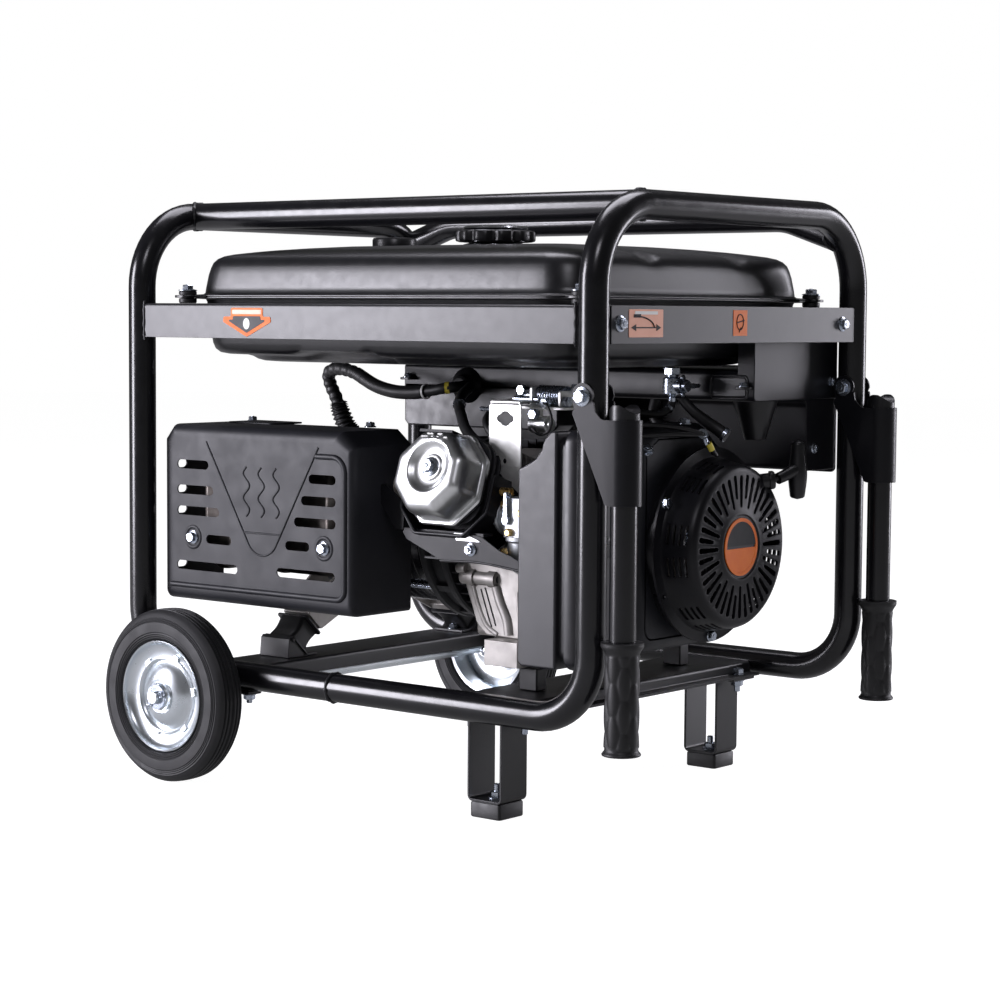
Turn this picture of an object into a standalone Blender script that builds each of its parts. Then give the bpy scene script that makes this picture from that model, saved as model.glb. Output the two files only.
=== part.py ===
"""Open-frame portable generator: tube frame on two wheels and two feet, folding
handles, fuel tank, single-cylinder engine with recoil starter, alternator and
control box.  Sizes are written in millimetres and scaled by MM to metres.
+X runs along the machine towards the recoil starter, +Y towards the control
panel, +Z up.  Sizes below are measured from the middle of the frame hoops; the
finished origin is on the ground under the middle of the whole machine, MIDDLE_X away.
"""
import math

import bmesh
import bpy
from mathutils import Matrix, Vector

MM = 0.001
GAP = 0.3            # clearance kept between neighbouring solids
MIDDLE_X = 23.85     # middle of the whole machine, handles included, from the hoops' middle

# Frame
POST_X = 338.0       # half distance between the end hoops
POST_Y = 251.0       # half distance between the near and far posts
TUBE_R = 16.0
TUBE_WALL = 2.0
TOP_Z = 661.0        # centre line of the top tubes
BOTTOM_Z = 126.0     # centre line of the bottom rails
TOP_BEND = 86.0
BOTTOM_BEND = 70.0
SEAM_X = -22.0       # where the two hoops meet along the bottom rails
FAR_RAIL_Y = 225.0
FAR_RAIL_DROP = 24.0
RAIL_TOP = 556.0     # flat tank rails
RAIL_HEIGHT = 40.0
SHEET = 3.0

# Wheels and feet
WHEEL_X = -240.0
WHEEL_Y = 295.0
WHEEL_R = 101.0
AXLE_R = 8.0
FOOT_X = 176.0
FOOT_Y = 204.0

# Folding handles
PIVOT_Z = 463.0
HANDLE_X = POST_X + 40.5
GRIP_BOTTOM = 97.0
GRIP_TOP = 214.0

# Engine and alternator
CRANK_Y = 47.0
CRANK_Z = 287.0
CYLINDER_X = 86.0
CYLINDER_TILT = math.radians(18.0)
SHAFT_R = 17.0
EXHAUST = (-150.0, 350.0)      # (y, z) of the exhaust port's axis
INTAKE = (-157.0, 322.0)       # (y, z) of the intake port's axis

# Fuel tank
TANK_HALF_X = 290.0
TANK_MID_X = 5.0
TANK_HALF_Y = 225.0
TANK_CORNER = 45.0
TANK_SEAM = 564.0
FILLER_R = 30.0
TANK_TOP = 630.0

PAINT = (0.018, 0.019, 0.022)
MATERIALS = {
    "frame_paint": (PAINT, 0.35, 0.0),
    "tank_paint": ((0.016, 0.017, 0.019), 0.32, 0.0),
    "guard_paint": ((0.02, 0.021, 0.023), 0.5, 0.0),
    "zinc": ((0.72, 0.75, 0.79), 0.3, 1.0),
    "polished_steel": ((0.75, 0.76, 0.77), 0.18, 1.0),
    "cast_aluminium": ((0.62, 0.62, 0.62), 0.5, 0.9),
    "tyre_rubber": ((0.025, 0.025, 0.027), 0.75, 0.0),
    "black_plastic": ((0.022, 0.022, 0.024), 0.45, 0.0),
    "black_rubber": ((0.02, 0.02, 0.021), 0.7, 0.0),
    "cap_chrome": ((0.6, 0.6, 0.62), 0.2, 1.0),
    "rotor_steel": ((0.3, 0.28, 0.26), 0.45, 0.9),
}


# ---------------------------------------------------------------- helpers

def clear_scene():
    for obj in list(bpy.data.objects):
        bpy.data.objects.remove(obj, do_unlink=True)


def make_materials():
    made = {}
    for name, (colour, roughness, metallic) in MATERIALS.items():
        mat = bpy.data.materials.new(name)
        mat.use_nodes = True
        shader = mat.node_tree.nodes["Principled BSDF"]
        shader.inputs["Base Color"].default_value = (*colour, 1.0)
        shader.inputs["Roughness"].default_value = roughness
        shader.inputs["Metallic"].default_value = metallic
        made[name] = mat
    return made


def finish(name, bm, material, pivot=(0.0, 0.0, 0.0)):
    """Turn a bmesh in millimetres into an object whose own origin is at pivot."""
    bmesh.ops.recalc_face_normals(bm, faces=bm.faces)
    bmesh.ops.translate(bm, verts=bm.verts, vec=-Vector(pivot))
    bmesh.ops.scale(bm, verts=bm.verts, vec=(MM, MM, MM))
    mesh = bpy.data.meshes.new(name)
    bm.to_mesh(mesh)
    bm.free()
    obj = bpy.data.objects.new(name, mesh)
    obj.location = (Vector(pivot) - Vector((MIDDLE_X, 0.0, 0.0))) * MM
    bpy.context.scene.collection.objects.link(obj)
    mesh.materials.append(MAT[material])
    mesh.shade_smooth()
    mesh.set_sharp_from_angle(angle=math.radians(35.0))
    return obj


def modify(obj, bm, operation):
    """Cut, join or trim an object with a solid given as a bmesh."""
    tool = finish(obj.name + "_tool", bm, "zinc")
    tool.hide_render = True
    tool.display_type = 'WIRE'
    change = obj.modifiers.new(operation.lower(), 'BOOLEAN')
    change.operation = operation
    change.object = tool
    return obj


def cut(obj, bm):
    return modify(obj, bm, 'DIFFERENCE')


def join(obj, bm):
    return modify(obj, bm, 'UNION')


def bevel(obj, width, segments=2, angle=40.0):
    rounding = obj.modifiers.new("edges", 'BEVEL')
    rounding.width = width * MM
    rounding.segments = segments
    rounding.limit_method = 'ANGLE'
    rounding.angle_limit = math.radians(angle)
    return obj


def merged(*parts):
    """Put several separate solids in one bmesh, as one cutting tool."""
    whole = bmesh.new()
    for part in parts:
        mesh = bpy.data.meshes.new("piece")
        part.to_mesh(mesh)
        part.free()
        whole.from_mesh(mesh)
        bpy.data.meshes.remove(mesh)
    return whole


def turned_bm(bm, matrix):
    bmesh.ops.transform(bm, matrix=matrix, verts=bm.verts)
    return bm


def block(low, high):
    bm = bmesh.new()
    size = Vector(high) - Vector(low)
    middle = (Vector(high) + Vector(low)) / 2
    shape = Matrix.Translation(middle) @ Matrix.Diagonal((*size, 1.0))
    bmesh.ops.create_cube(bm, size=1.0, matrix=shape)
    return bm


def to_axis(axis):
    """Rotation that carries +Z onto the named axis, keeping it right handed."""
    if axis == "x":
        return Matrix(((0, 0, 1, 0), (1, 0, 0, 0), (0, 1, 0, 0), (0, 0, 0, 1)))
    if axis == "y":
        return Matrix(((0, 1, 0, 0), (0, 0, 1, 0), (1, 0, 0, 0), (0, 0, 0, 1)))
    return Matrix.Identity(4)


def prism(outline, axis, low, high):
    """Extrude a closed outline.  Outline points are (y, z) for x, (z, x) for y, (x, y) for z."""
    bm = bmesh.new()
    rings = [[bm.verts.new((a, b, h)) for a, b in outline] for h in (low, high)]
    bm.faces.new(reversed(rings[0]))
    bm.faces.new(rings[1])
    for i in range(len(outline)):
        j = (i + 1) % len(outline)
        bm.faces.new((rings[0][i], rings[0][j], rings[1][j], rings[1][i]))
    return turned_bm(bm, to_axis(axis))


def rod(centre, axis, low, high, radius, steps=20):
    """Round bar along an axis; centre holds the two other coordinates in prism order."""
    ring = [(centre[0] + radius * math.cos(t), centre[1] + radius * math.sin(t))
            for t in (2 * math.pi * i / steps for i in range(steps))]
    return prism(ring, axis, low, high)


def lathe(profile, axis, centre, steps=32):
    """Turn a closed profile of (radius, height) about an axis through centre."""
    bm = bmesh.new()
    rings = []
    for radius, height in profile:
        if radius < 1e-6:
            rings.append([bm.verts.new((0, 0, height))] * steps)
            continue
        rings.append([bm.verts.new((radius * math.cos(t), radius * math.sin(t), height))
                      for t in (2 * math.pi * i / steps for i in range(steps))])
    for k in range(len(rings)):
        a, b = rings[k], rings[(k + 1) % len(rings)]
        for i in range(steps):
            j = (i + 1) % steps
            corners = list(dict.fromkeys((a[i], a[j], b[j], b[i])))
            if len(corners) > 2:
                bm.faces.new(corners)
    return turned_bm(bm, Matrix.Translation(Vector(centre)) @ to_axis(axis))


def filleted(corners, steps=5):
    """Route through corner points (x, y, z, bend radius) with round bends."""
    route = [Vector(corners[0][:3])]
    for before, here, after in zip(corners, corners[1:], corners[2:]):
        point = Vector(here[:3])
        back = (Vector(before[:3]) - point).normalized()
        ahead = (Vector(after[:3]) - point).normalized()
        half = back.angle(ahead) / 2
        reach = here[3] / math.tan(half)
        middle = point + (back + ahead).normalized() * (here[3] / math.sin(half))
        start = point + back * reach - middle
        end = point + ahead * reach - middle
        turn = start.angle(end)
        for i in range(steps + 1):
            s = i / steps
            arm = (start * math.sin((1 - s) * turn) + end * math.sin(s * turn)) / math.sin(turn)
            route.append(middle + arm)
    route.append(Vector(corners[-1][:3]))
    return route


def smooth_route(points, per_span=3):
    """Catmull-Rom curve through the given points."""
    pts = [Vector(p) for p in points]
    pts = [2 * pts[0] - pts[1]] + pts + [2 * pts[-1] - pts[-2]]
    route = []
    for a, b, c, d in zip(pts, pts[1:], pts[2:], pts[3:]):
        for i in range(per_span):
            t = i / per_span
            route.append(0.5 * (2 * b + (c - a) * t + (2 * a - 5 * b + 4 * c - d) * t * t
                                + (3 * b - a - 3 * c + d) * t ** 3))
    route.append(pts[-2])
    return route


def tube(route, radius, inner=0.0, sides=12):
    """Sweep a round section along a route; a pipe with open ends when inner is set."""
    bm = bmesh.new()
    count = len(route)
    heading = [(route[min(i + 1, count - 1)] - route[max(i - 1, 0)]).normalized()
               for i in range(count)]
    side = heading[0].orthogonal().normalized()
    shells = {radius: [], inner: []}
    for i, point in enumerate(route):
        side = (side - heading[i] * side.dot(heading[i])).normalized()
        other = heading[i].cross(side)
        for r, rings in shells.items():
            if r > 0:
                rings.append([bm.verts.new(point + r * (side * math.cos(t) + other * math.sin(t)))
                              for t in (2 * math.pi * k / sides for k in range(sides))])
    for rings in shells.values():
        for a, b in zip(rings, rings[1:]):
            for k in range(sides):
                m = (k + 1) % sides
                bm.faces.new((a[k], a[m], b[m], b[k]))
    for end in (0, -1):
        outer = shells[radius][end]
        if inner > 0:
            bore = shells[inner][end]
            for k in range(sides):
                m = (k + 1) % sides
                bm.faces.new((outer[k], outer[m], bore[m], bore[k]))
        else:
            bm.faces.new(outer)
    return bm


def rounded_rectangle(half_x, half_y, corner, steps=4):
    """Points of a rectangle with round corners, counter-clockwise from above."""
    points = []
    for quarter, (sx, sy) in enumerate(((1, 1), (-1, 1), (-1, -1), (1, -1))):
        for i in range(steps + 1):
            t = math.pi / 2 * (quarter + i / steps)
            points.append((sx * (half_x - corner) + corner * math.cos(t),
                           sy * (half_y - corner) + corner * math.sin(t)))
    return points


def pan(outer, inner, centre_x):
    """Sheet pan from two stacks of (inset, z) rings that share their first, open edge."""
    bm = bmesh.new()

    def stack(levels):
        rings = []
        for inset, z in levels:
            ring = rounded_rectangle(TANK_HALF_X - inset, TANK_HALF_Y - inset,
                                     max(TANK_CORNER - inset * 0.3, 20.0))
            rings.append([bm.verts.new((centre_x + x, y, z)) for x, y in ring])
        for a, b in zip(rings, rings[1:]):
            for i in range(len(a)):
                j = (i + 1) % len(a)
                bm.faces.new((a[i], a[j], b[j], b[i]))
        bm.faces.new(rings[-1])
        return rings[0]

    edge_out = stack(outer)
    edge_in = stack(inner)
    for i in range(len(edge_out)):
        j = (i + 1) % len(edge_out)
        bm.faces.new((edge_out[i], edge_out[j], edge_in[j], edge_in[i]))
    return bm


def arc_points(centre, radius, start, end, steps):
    """Points on an arc; angles in degrees."""
    return [(centre[0] + radius * math.cos(math.radians(start + (end - start) * i / steps)),
             centre[1] + radius * math.sin(math.radians(start + (end - start) * i / steps)))
            for i in range(steps + 1)]


# ------------------------------------------------------------------ frame

def hoop(name, side):
    """One bent tube: bottom rail, post, top, post, bottom rail of one end."""
    x = side * POST_X
    seam = SEAM_X + side * GAP / 2
    corners = [(seam, -POST_Y, BOTTOM_Z),
               (x, -POST_Y, BOTTOM_Z, BOTTOM_BEND),
               (x, -POST_Y, TOP_Z, TOP_BEND),
               (x, POST_Y, TOP_Z, TOP_BEND),
               (x, POST_Y, BOTTOM_Z, BOTTOM_BEND),
               (seam, POST_Y, BOTTOM_Z)]
    return finish(name, tube(filleted(corners), TUBE_R, TUBE_R - TUBE_WALL), "frame_paint")


def top_rails():
    reach = POST_X - TUBE_R - GAP
    near_y = -(POST_Y - TOP_BEND)
    straight = [Vector((-reach, near_y, TOP_Z)), Vector((reach, near_y, TOP_Z))]
    finish("near_top_rail", tube(straight, TUBE_R, TUBE_R - TUBE_WALL), "frame_paint")
    low = TOP_Z - FAR_RAIL_DROP
    reach -= 6.0
    shoulder = reach - 56.0
    bent = filleted([(-reach, FAR_RAIL_Y, low), (-shoulder, FAR_RAIL_Y, TOP_Z, 90.0),
                     (shoulder, FAR_RAIL_Y, TOP_Z, 90.0), (reach, FAR_RAIL_Y, low)], 3)
    finish("far_top_rail", tube(bent, TUBE_R, TUBE_R - TUBE_WALL), "frame_paint")


def tank_rails():
    bottom = RAIL_TOP - RAIL_HEIGHT
    reach = POST_X - TUBE_R - 2 * GAP
    outside = POST_Y + 11.0
    for name, side in (("near_tank_rail", -1), ("far_tank_rail", 1)):
        angle = [(side * outside, bottom), (side * outside, RAIL_TOP),
                 (side * (outside - 30.0), RAIL_TOP), (side * (outside - 30.0), RAIL_TOP - SHEET),
                 (side * (outside - SHEET), RAIL_TOP - SHEET), (side * (outside - SHEET), bottom)]
        finish(name, prism(angle, "x", -reach, reach), "frame_paint")
    outside = POST_X + 11.0
    reach = POST_Y - 14.6
    for name, side in (("front_tank_rail", 1), ("rear_tank_rail", -1)):
        low, high = sorted((side * outside, side * (outside - SHEET)))
        finish(name, block((low, -reach, bottom), (high, reach, RAIL_TOP)), "frame_paint")


def cross_member(name, low_x, high_x, low_z, high_z, flange):
    """Inverted channel between the bottom rails, with outward flanges if flange is set."""
    reach = POST_Y - TUBE_R - GAP
    section = [(high_z, low_x), (high_z, high_x), (low_z + SHEET, high_x),
               (low_z + SHEET, high_x + flange), (low_z, high_x + flange),
               (low_z, high_x - SHEET), (high_z - SHEET, high_x - SHEET),
               (high_z - SHEET, low_x + SHEET), (low_z, low_x + SHEET),
               (low_z, low_x - flange), (low_z + SHEET, low_x - flange),
               (low_z + SHEET, low_x)]
    finish(name, prism(section, "y", -reach, reach), "frame_paint")


def feet():
    top = 111.7
    bottom = 17.3
    half = 24.0
    flange = 48.0
    strap = [(-flange, top), (-half + SHEET, top), (-half + SHEET, bottom + SHEET),
             (half - SHEET, bottom + SHEET), (half - SHEET, top), (flange, top),
             (flange, top - SHEET), (half, top - SHEET), (half, bottom),
             (-half, bottom), (-half, top - SHEET), (-flange, top - SHEET)]
    outline = [(z, FOOT_X + x) for x, z in strap]
    for name, y in (("near_foot", -FOOT_Y), ("far_foot", FOOT_Y)):
        finish(name + "_strap", prism(outline, "y", y - 22.0, y + 22.0), "frame_paint")
        pad = block((FOOT_X - 21.0, y - 21.0, 0.0), (FOOT_X + 21.0, y + 21.0, bottom - GAP))
        bevel(finish(name + "_pad", pad, "black_rubber"), 1.5, 1)


# ------------------------------------------------------- wheels and axle

def axle():
    reach = WHEEL_Y + 33.0
    axis = (WHEEL_R, WHEEL_X)
    obj = finish("wheel_axle", rod(axis, "y", -reach, reach, AXLE_R), "zinc")
    for side in (-1, 1):
        low, high = sorted((side * (POST_Y - 11.0), side * (POST_Y + 11.0)))
        join(obj, block((WHEEL_X - 20.0, low, 105.5), (-150.0, high, 109.6)))


def wheel(side_name, side):
    centre = (WHEEL_X, side * WHEEL_Y, WHEEL_R)
    tyre = [(65, -18), (72, -22), (90, -22), (97, -17), (WHEEL_R, -8),
            (WHEEL_R, 8), (97, 17), (90, 22), (72, 22), (65, 18)]
    finish(side_name + "_tyre", lathe(tyre, "y", centre, 28), "tyre_rubber", centre)
    out = side
    rim = [(8.5, 24), (16, 24), (17, 15), (48, 12), (57, 17), (64.6, 18), (64.6, -18), (61, -18),
           (61, 12), (48, 8), (16, 10), (16, -22), (8.5, -22)]
    rim = [(r, out * h) for r, h in rim]
    finish(side_name + "_rim", lathe(rim, "y", centre, 20), "zinc", centre)


# -------------------------------------------------------- folding handles

def handle_bracket(name, y):
    """Sheet bent round the handle tube, with two cheeks that straddle the post."""
    inner = TUBE_R + GAP
    outer = inner + 2.0
    left = POST_X - 14.0
    low = PIVOT_Z - 108.0
    section = ([(left, -outer), (HANDLE_X, -outer)] + arc_points((HANDLE_X, 0), outer, -80, 80, 8)
               + [(HANDLE_X, outer), (left, outer), (left, inner), (HANDLE_X, inner)]
               + arc_points((HANDLE_X, 0), inner, 80, -80, 8) + [(HANDLE_X, -inner), (left, -inner)])
    section = [(x, y + dy) for x, dy in section]
    pivot = (POST_X, y, PIVOT_Z)
    obj = finish(name, prism(section, "z", low, PIVOT_Z + 15.0), "frame_paint", pivot)
    right = HANDLE_X + outer + 2.0
    side_view = (arc_points((0, 0), 14.0, 180, 0, 8)
                 + [(14, -12), (25, -23), (right - POST_X, -23), (right - POST_X, -110),
                    (24, -110), (22, -104), (-14, -16)])
    profile = [(PIVOT_Z + dz, POST_X + dx) for dx, dz in side_view]
    modify(obj, prism(profile, "y", y - 30, y + 30), 'INTERSECT')
    cut(obj, rod((PIVOT_Z, POST_X), "y", y - 30, y + 30, 4.4, 12))


def handle(side_name, y):
    pivot = (POST_X, y, PIVOT_Z)
    handle_bracket(side_name + "_handle_bracket", y)
    tube_top = PIVOT_Z - 32.0
    pipe = [Vector((HANDLE_X, y, GRIP_BOTTOM + 8.0)), Vector((HANDLE_X, y, tube_top))]
    finish(side_name + "_handle_tube", tube(pipe, 14.0, 12.0, 16), "frame_paint", pivot)
    cap = rod((HANDLE_X, y), "z", PIVOT_Z - 106.0, PIVOT_Z - 7.0, TUBE_R - GAP, 20)
    obj = finish(side_name + "_handle_cap", cap, "black_plastic", pivot)
    cut(obj, rod((HANDLE_X, y), "z", PIVOT_Z - 110.0, tube_top + GAP, 14.6, 16))
    cut(obj, rod((y, PIVOT_Z), "x", HANDLE_X - 30, HANDLE_X + 30, TUBE_R + 2 * GAP, 24))
    low, high = GRIP_BOTTOM, GRIP_TOP
    profile = [(0, low), (20, low), (20.5, low + 3), (19, low + 6), (17.5, low + 10),
               (18.5, low + 30), (17.5, low + 50), (18.5, low + 70), (17.5, high - 26),
               (19, high - 16), (23, high - 5), (22, high), (14.4, high), (14.4, low + 7),
               (0, low + 7)]
    finish(side_name + "_handle_grip", lathe(profile, "z", (HANDLE_X, y, 0), 16),
           "black_rubber", pivot)


# -------------------------------------------------------------- fuel tank

def tank():
    seam = TANK_SEAM
    upper_out = [(-8, seam + GAP), (-8, seam + 2.2), (0, seam + 2.6), (7, 598), (12, 608),
                 (24, 614), (60, 620), (150, 626)]
    upper_in = [(8, seam + GAP), (10, 597), (15, 606), (27, 611.5), (62, 617.5), (152, 623.5)]
    top = finish("tank_upper", pan(upper_out, upper_in, TANK_MID_X), "tank_paint")
    cut(top, rod((0, 0), "z", 600, 650, FILLER_R, 24))
    lower_out = [(-8, seam - GAP), (-8, seam - 2.2), (1, seam - 2.6), (8, 506), (16, 498),
                 (44, 496), (50, 490), (60, 488)]
    lower_in = [(8, seam - GAP), (11, 508), (18, 501), (46, 499), (52, 493), (62, 491)]
    finish("tank_lower", pan(lower_out, lower_in, TANK_MID_X), "tank_paint")


def tank_fittings():
    cap = [(0, 612), (26, 612), (26, 627), (30, 630), (46, 630), (48, 633), (48, 644),
           (44, 648), (20, 650), (0, 650)]
    finish("fuel_cap", lathe(cap, "z", (0, 0, 0), 24), "cap_chrome", (0, 0, TANK_TOP))
    gauge = [(0, 627.5), (20, 627.5), (27, 629), (27, 636), (24, 639), (0, 640)]
    finish("fuel_gauge", lathe(gauge, "z", (-160, 0, 0), 20), "black_plastic")
    tap_x, tap_y = 232.0, 37.0
    body = lathe([(0, 450), (5, 450), (5, 456), (11, 456), (11, 474), (7, 476), (7, 487),
                  (0, 487)], "z", (tap_x, tap_y, 0), 16)
    tap = finish("fuel_tap", body, "zinc")
    join(tap, rod((tap_y, 466), "x", tap_x, tap_x + 16, 9, 16))
    lever = merged(rod((tap_y, 466), "x", tap_x + 16 + GAP, tap_x + 22, 7, 16))
    obj = finish("fuel_tap_lever", lever, "zinc", (tap_x + 20, tap_y, 466))
    join(obj, block((tap_x + 18, tap_y, 463.5), (tap_x + 21.5, tap_y + 26, 468.5)))
    route = [(tap_x, tap_y, 448), (tap_x - 1, tap_y - 4, 441), (tap_x - 6, 18, 434),
             (214, -10, 436), (203, -40, 437), (191, -72, 428), (182, -98, 404),
             (176, -116, 375), (172, -124, 350)]
    finish("fuel_hose", tube(smooth_route(route), 4.5, 0, 8), "black_rubber")


# ----------------------------------------------------------------- engine

def cylinder_frame():
    """Frame whose Z runs out along the cylinder and whose Y points up across it."""
    out = Vector((0, -math.cos(CYLINDER_TILT), math.sin(CYLINDER_TILT)))
    across = Vector((1, 0, 0))
    up = out.cross(across)
    turn = Matrix((across, up, out)).transposed().to_4x4()
    return Matrix.Translation((CYLINDER_X, CRANK_Y, CRANK_Z)) @ turn


def engine_block():
    section = [(-128, 166), (150, 166), (162, 190), (160, 320), (120, 380), (20, 388),
               (-40, 360), (-80, 300), (-128, 268)]
    case = finish("crankcase", prism(section, "x", 24, 190), "cast_aluminium")
    local = cylinder_frame()
    join(case, turned_bm(block((-50, -50, 60), (50, 50, 176)), local))
    for y in (-132, 142):
        join(case, block((104, y - 20, 128.4), (150, y + 20, 176)))
    cut(case, rod((CRANK_Y, CRANK_Z), "x", 0, 210, SHAFT_R + 3, 24))

    head = turned_bm(block((-52, -50, 176.3), (52, 50, 240)), local)
    head = finish("cylinder_head", head, "cast_aluminium")
    grooves = [turned_bm(block((-60, -60, w), (-26, 60, w + 4)), local)
               for w in (188, 198, 208, 218)]
    grooves += [turned_bm(block((-24, -60, w), (60, -28, w + 4)), local)
                for w in (188, 198, 208, 218)]
    cut(head, merged(*grooves))

    def octagon(half_x, half_y, chop):
        return [(half_x, -half_y + chop), (half_x, half_y - chop), (half_x - chop, half_y),
                (-half_x + chop, half_y), (-half_x, half_y - chop), (-half_x, -half_y + chop),
                (-half_x + chop, -half_y), (half_x - chop, -half_y)]

    cover = prism(octagon(54, 52, 29), "z", 240.3, 247)
    cover = finish("valve_cover", turned_bm(cover, local), "polished_steel")
    join(cover, turned_bm(prism(octagon(49, 47, 28), "z", 244, 284), local))
    bevel(cover, 5, 2, 50)

    channel = [(-66, 34), (-66, -70), (66, -70), (66, 34), (62, 34), (62, -66), (-62, -66),
               (-62, 34)]
    shroud = turned_bm(prism(channel, "z", 182, 238), local)
    shroud = finish("cooling_shroud", shroud, "guard_paint")
    cut(shroud, rod(EXHAUST, "x", 0, 60, 18, 16))
    cut(shroud, rod(INTAKE, "x", 140, 160, 18, 16))


def blower_and_starter():
    centre = (CRANK_Y, CRANK_Z)

    def scroll(offset):
        return (arc_points((-41, 199), 30 - offset, 180, 270, 4)
                + arc_points(centre, 118 - offset, -90, 55, 12)
                + [(62, 424 - offset), (-36, 424 - offset), (-71 + offset, 396 - offset / 2)])

    housing = finish("blower_housing", prism(scroll(0), "x", 193, 264), "guard_paint")
    cut(housing, prism(scroll(2.5), "x", 180, 261.5))
    cut(housing, rod(centre, "x", 250, 280, 88, 32))

    cover = [(112, 264.5), (112, 267), (104, 268), (102, 300), (98, 314), (90, 321), (0, 323),
             (0, 292), (8, 292), (8, 320), (88, 318.5), (95.5, 312), (99.5, 300), (101.5, 264.5)]
    recoil = finish("recoil_cover", lathe(cover, "x", (0, CRANK_Y, CRANK_Z), 32), "guard_paint")
    slots = []
    for i in range(16):
        inner = 44 if i % 2 else 52
        slot = block((314, -3.5, inner), (330, 3.5, 84))
        turn = (Matrix.Translation((0, CRANK_Y, CRANK_Z))
                @ Matrix.Rotation(2 * math.pi * i / 16, 4, 'X'))
        slots.append(turned_bm(slot, turn))
    cut(recoil, merged(*slots))

    pulley = [(8.6, 294), (52, 294), (52, 296), (48, 297.5), (48, 303), (52, 304.5), (52, 306.5),
              (8.6, 306.5)]
    pivot = (300, CRANK_Y, CRANK_Z)
    finish("recoil_pulley", lathe(pulley, "x", (0, CRANK_Y, CRANK_Z), 24),
           "black_plastic", pivot)

    grip_at = (334.0, 143.0, 370.0)
    bar = [(0, -34), (7, -34), (9, -31), (11.5, -8), (12, 10), (10.5, 28), (7, 33), (0, 34)]
    grip = finish("starter_grip", lathe(bar, "z", grip_at, 16), "black_plastic", grip_at)
    neck = filleted([grip_at, (334.0, 134.0, 368.5, 40), (326.0, 112.0, 360.0)], 2)
    join(grip, tube(neck, 6.0, 0, 10))


def rotating_parts():
    pivot = (0, CRANK_Y, CRANK_Z)
    shaft = [(0, -262), (10, -262), (10, -244), (SHAFT_R, -244), (SHAFT_R, 240), (10, 240),
             (10, 276), (0, 276)]
    finish("crankshaft", lathe(shaft, "x", pivot, 20), "rotor_steel", pivot)
    fan = []
    for i in range(12):
        for radius, shift in ((66, 0.0), (94, 0.25), (94, 0.45), (66, 0.6)):
            t = 2 * math.pi * (i + shift) / 12
            fan.append((CRANK_Y + radius * math.cos(t), CRANK_Z + radius * math.sin(t)))
    flywheel = finish("flywheel_fan", prism(fan, "x", 226, 248), "black_plastic", pivot)
    join(flywheel, rod((CRANK_Y, CRANK_Z), "x", 200, 227, 92, 24))
    cut(flywheel, rod((CRANK_Y, CRANK_Z), "x", 190, 260, SHAFT_R + 2 * GAP, 20))
    rotor = [(SHAFT_R + 2 * GAP, -230), (60, -230), (70, -222), (70, -20), (60, -12),
             (SHAFT_R + 2 * GAP, -12)]
    finish("alternator_rotor", lathe(rotor, "x", pivot, 24), "rotor_steel", pivot)


def alternator():
    axis = (CRANK_Y, CRANK_Z)
    body = finish("alternator_housing", rod(axis, "x", -282, 22, 97, 24), "guard_paint")
    feet_outline = [(-80, 160), (-103, 182), (-40, 236), (10, 196)]
    for mirror in (False, True):
        outline = [(2 * CRANK_Y - y if mirror else y, z) for y, z in feet_outline]
        join(body, prism(outline, "x", -250, -206))
    bevel(body, 6, 1, 60)
    cut(body, rod(axis, "x", -272, 60, 75, 24))
    cut(body, rod(axis, "x", -300, -260, 40, 24))
    for side_name, mirror in (("near", False), ("far", True)):
        mount = [(-140, 130.4), (-90, 130.4), (-90, 134), (-104, 136), (-81, 159.2),
                 (-103.6, 181.2), (-133, 152), (-140, 134)]
        outline = [(2 * CRANK_Y - y if mirror else y, z) for y, z in mount]
        finish(side_name + "_isolator", prism(outline, "x", -248, -208), "black_rubber")


def muffler_and_guard():
    def end_view(left, right, low, high, chop, grow):
        return [(z, x) for x, z in ((left, low + grow), (left, high - chop), (left + chop, high),
                                    (right - chop, high), (right, high - chop),
                                    (right, low + grow), (right - grow, low), (left + grow, low))]

    guard = finish("muffler_guard", prism(end_view(-318, -10, 204, 413, 14, 8), "y", -238, -138),
                   "guard_paint")
    cut(guard, prism(end_view(-316, -12, 206, 411, 13.5, 7.5), "y", -236, -100))
    slots = []
    for level in range(5):
        z = 254 + level * 27
        for left, right in ((-292, -238 - 6 * (4 - level)), (-92 + 6 * (4 - level), -36)):
            slots.append(block((left, -245, z - 4.5), (right, -230, z + 4.5)))
    cut(guard, merged(*slots))
    cut(guard, rod(EXHAUST, "x", -40, 0, 18, 16))

    box = finish("muffler", block((-280, -226, 232), (-52, -120, 388)), "rotor_steel")
    bevel(box, 5, 1)
    cut(box, block((-276, -222, 236), (-56, -124, 384)))
    join(box, rod(EXHAUST, "x", -54, 33.4, 15, 16))
    cut(box, rod(EXHAUST, "x", -70, 40, 12, 16))


def intake():
    low_y, high_y, low_z, high_z = -229, -132, 172, 425
    base = finish("air_cleaner_base", block((222, low_y, low_z), (270, high_y, high_z)),
                  "black_plastic")
    cut(base, block((200, -300, 392), (246, 0, 460)))
    cut(base, block((226, low_y + 3, low_z + 3), (290, high_y - 3, 388)))
    cover = finish("air_cleaner_cover", block((270.3, low_y, low_z), (304, high_y, high_z)),
                   "black_plastic")
    bevel(cover, 4, 2)
    cut(cover, block((240, low_y + 5, low_z + 5), (299, high_y - 5, high_z - 5)))

    carb = finish("carburettor", block((156, -176, 300), (194, -138, 344)), "cast_aluminium")
    join(carb, lathe([(0, 262), (14, 262), (20, 268), (20, 302), (0, 302)], "z",
                     (175, INTAKE[0], 0), 20))
    join(carb, rod(INTAKE, "x", 138.4, 221.5, 15, 20))
    lever = finish("choke_lever", block((162, -181, 318), (168, -176.4, 352)), "zinc",
                   (165, -178, 322))
    bevel(lever, 1, 1)


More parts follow.
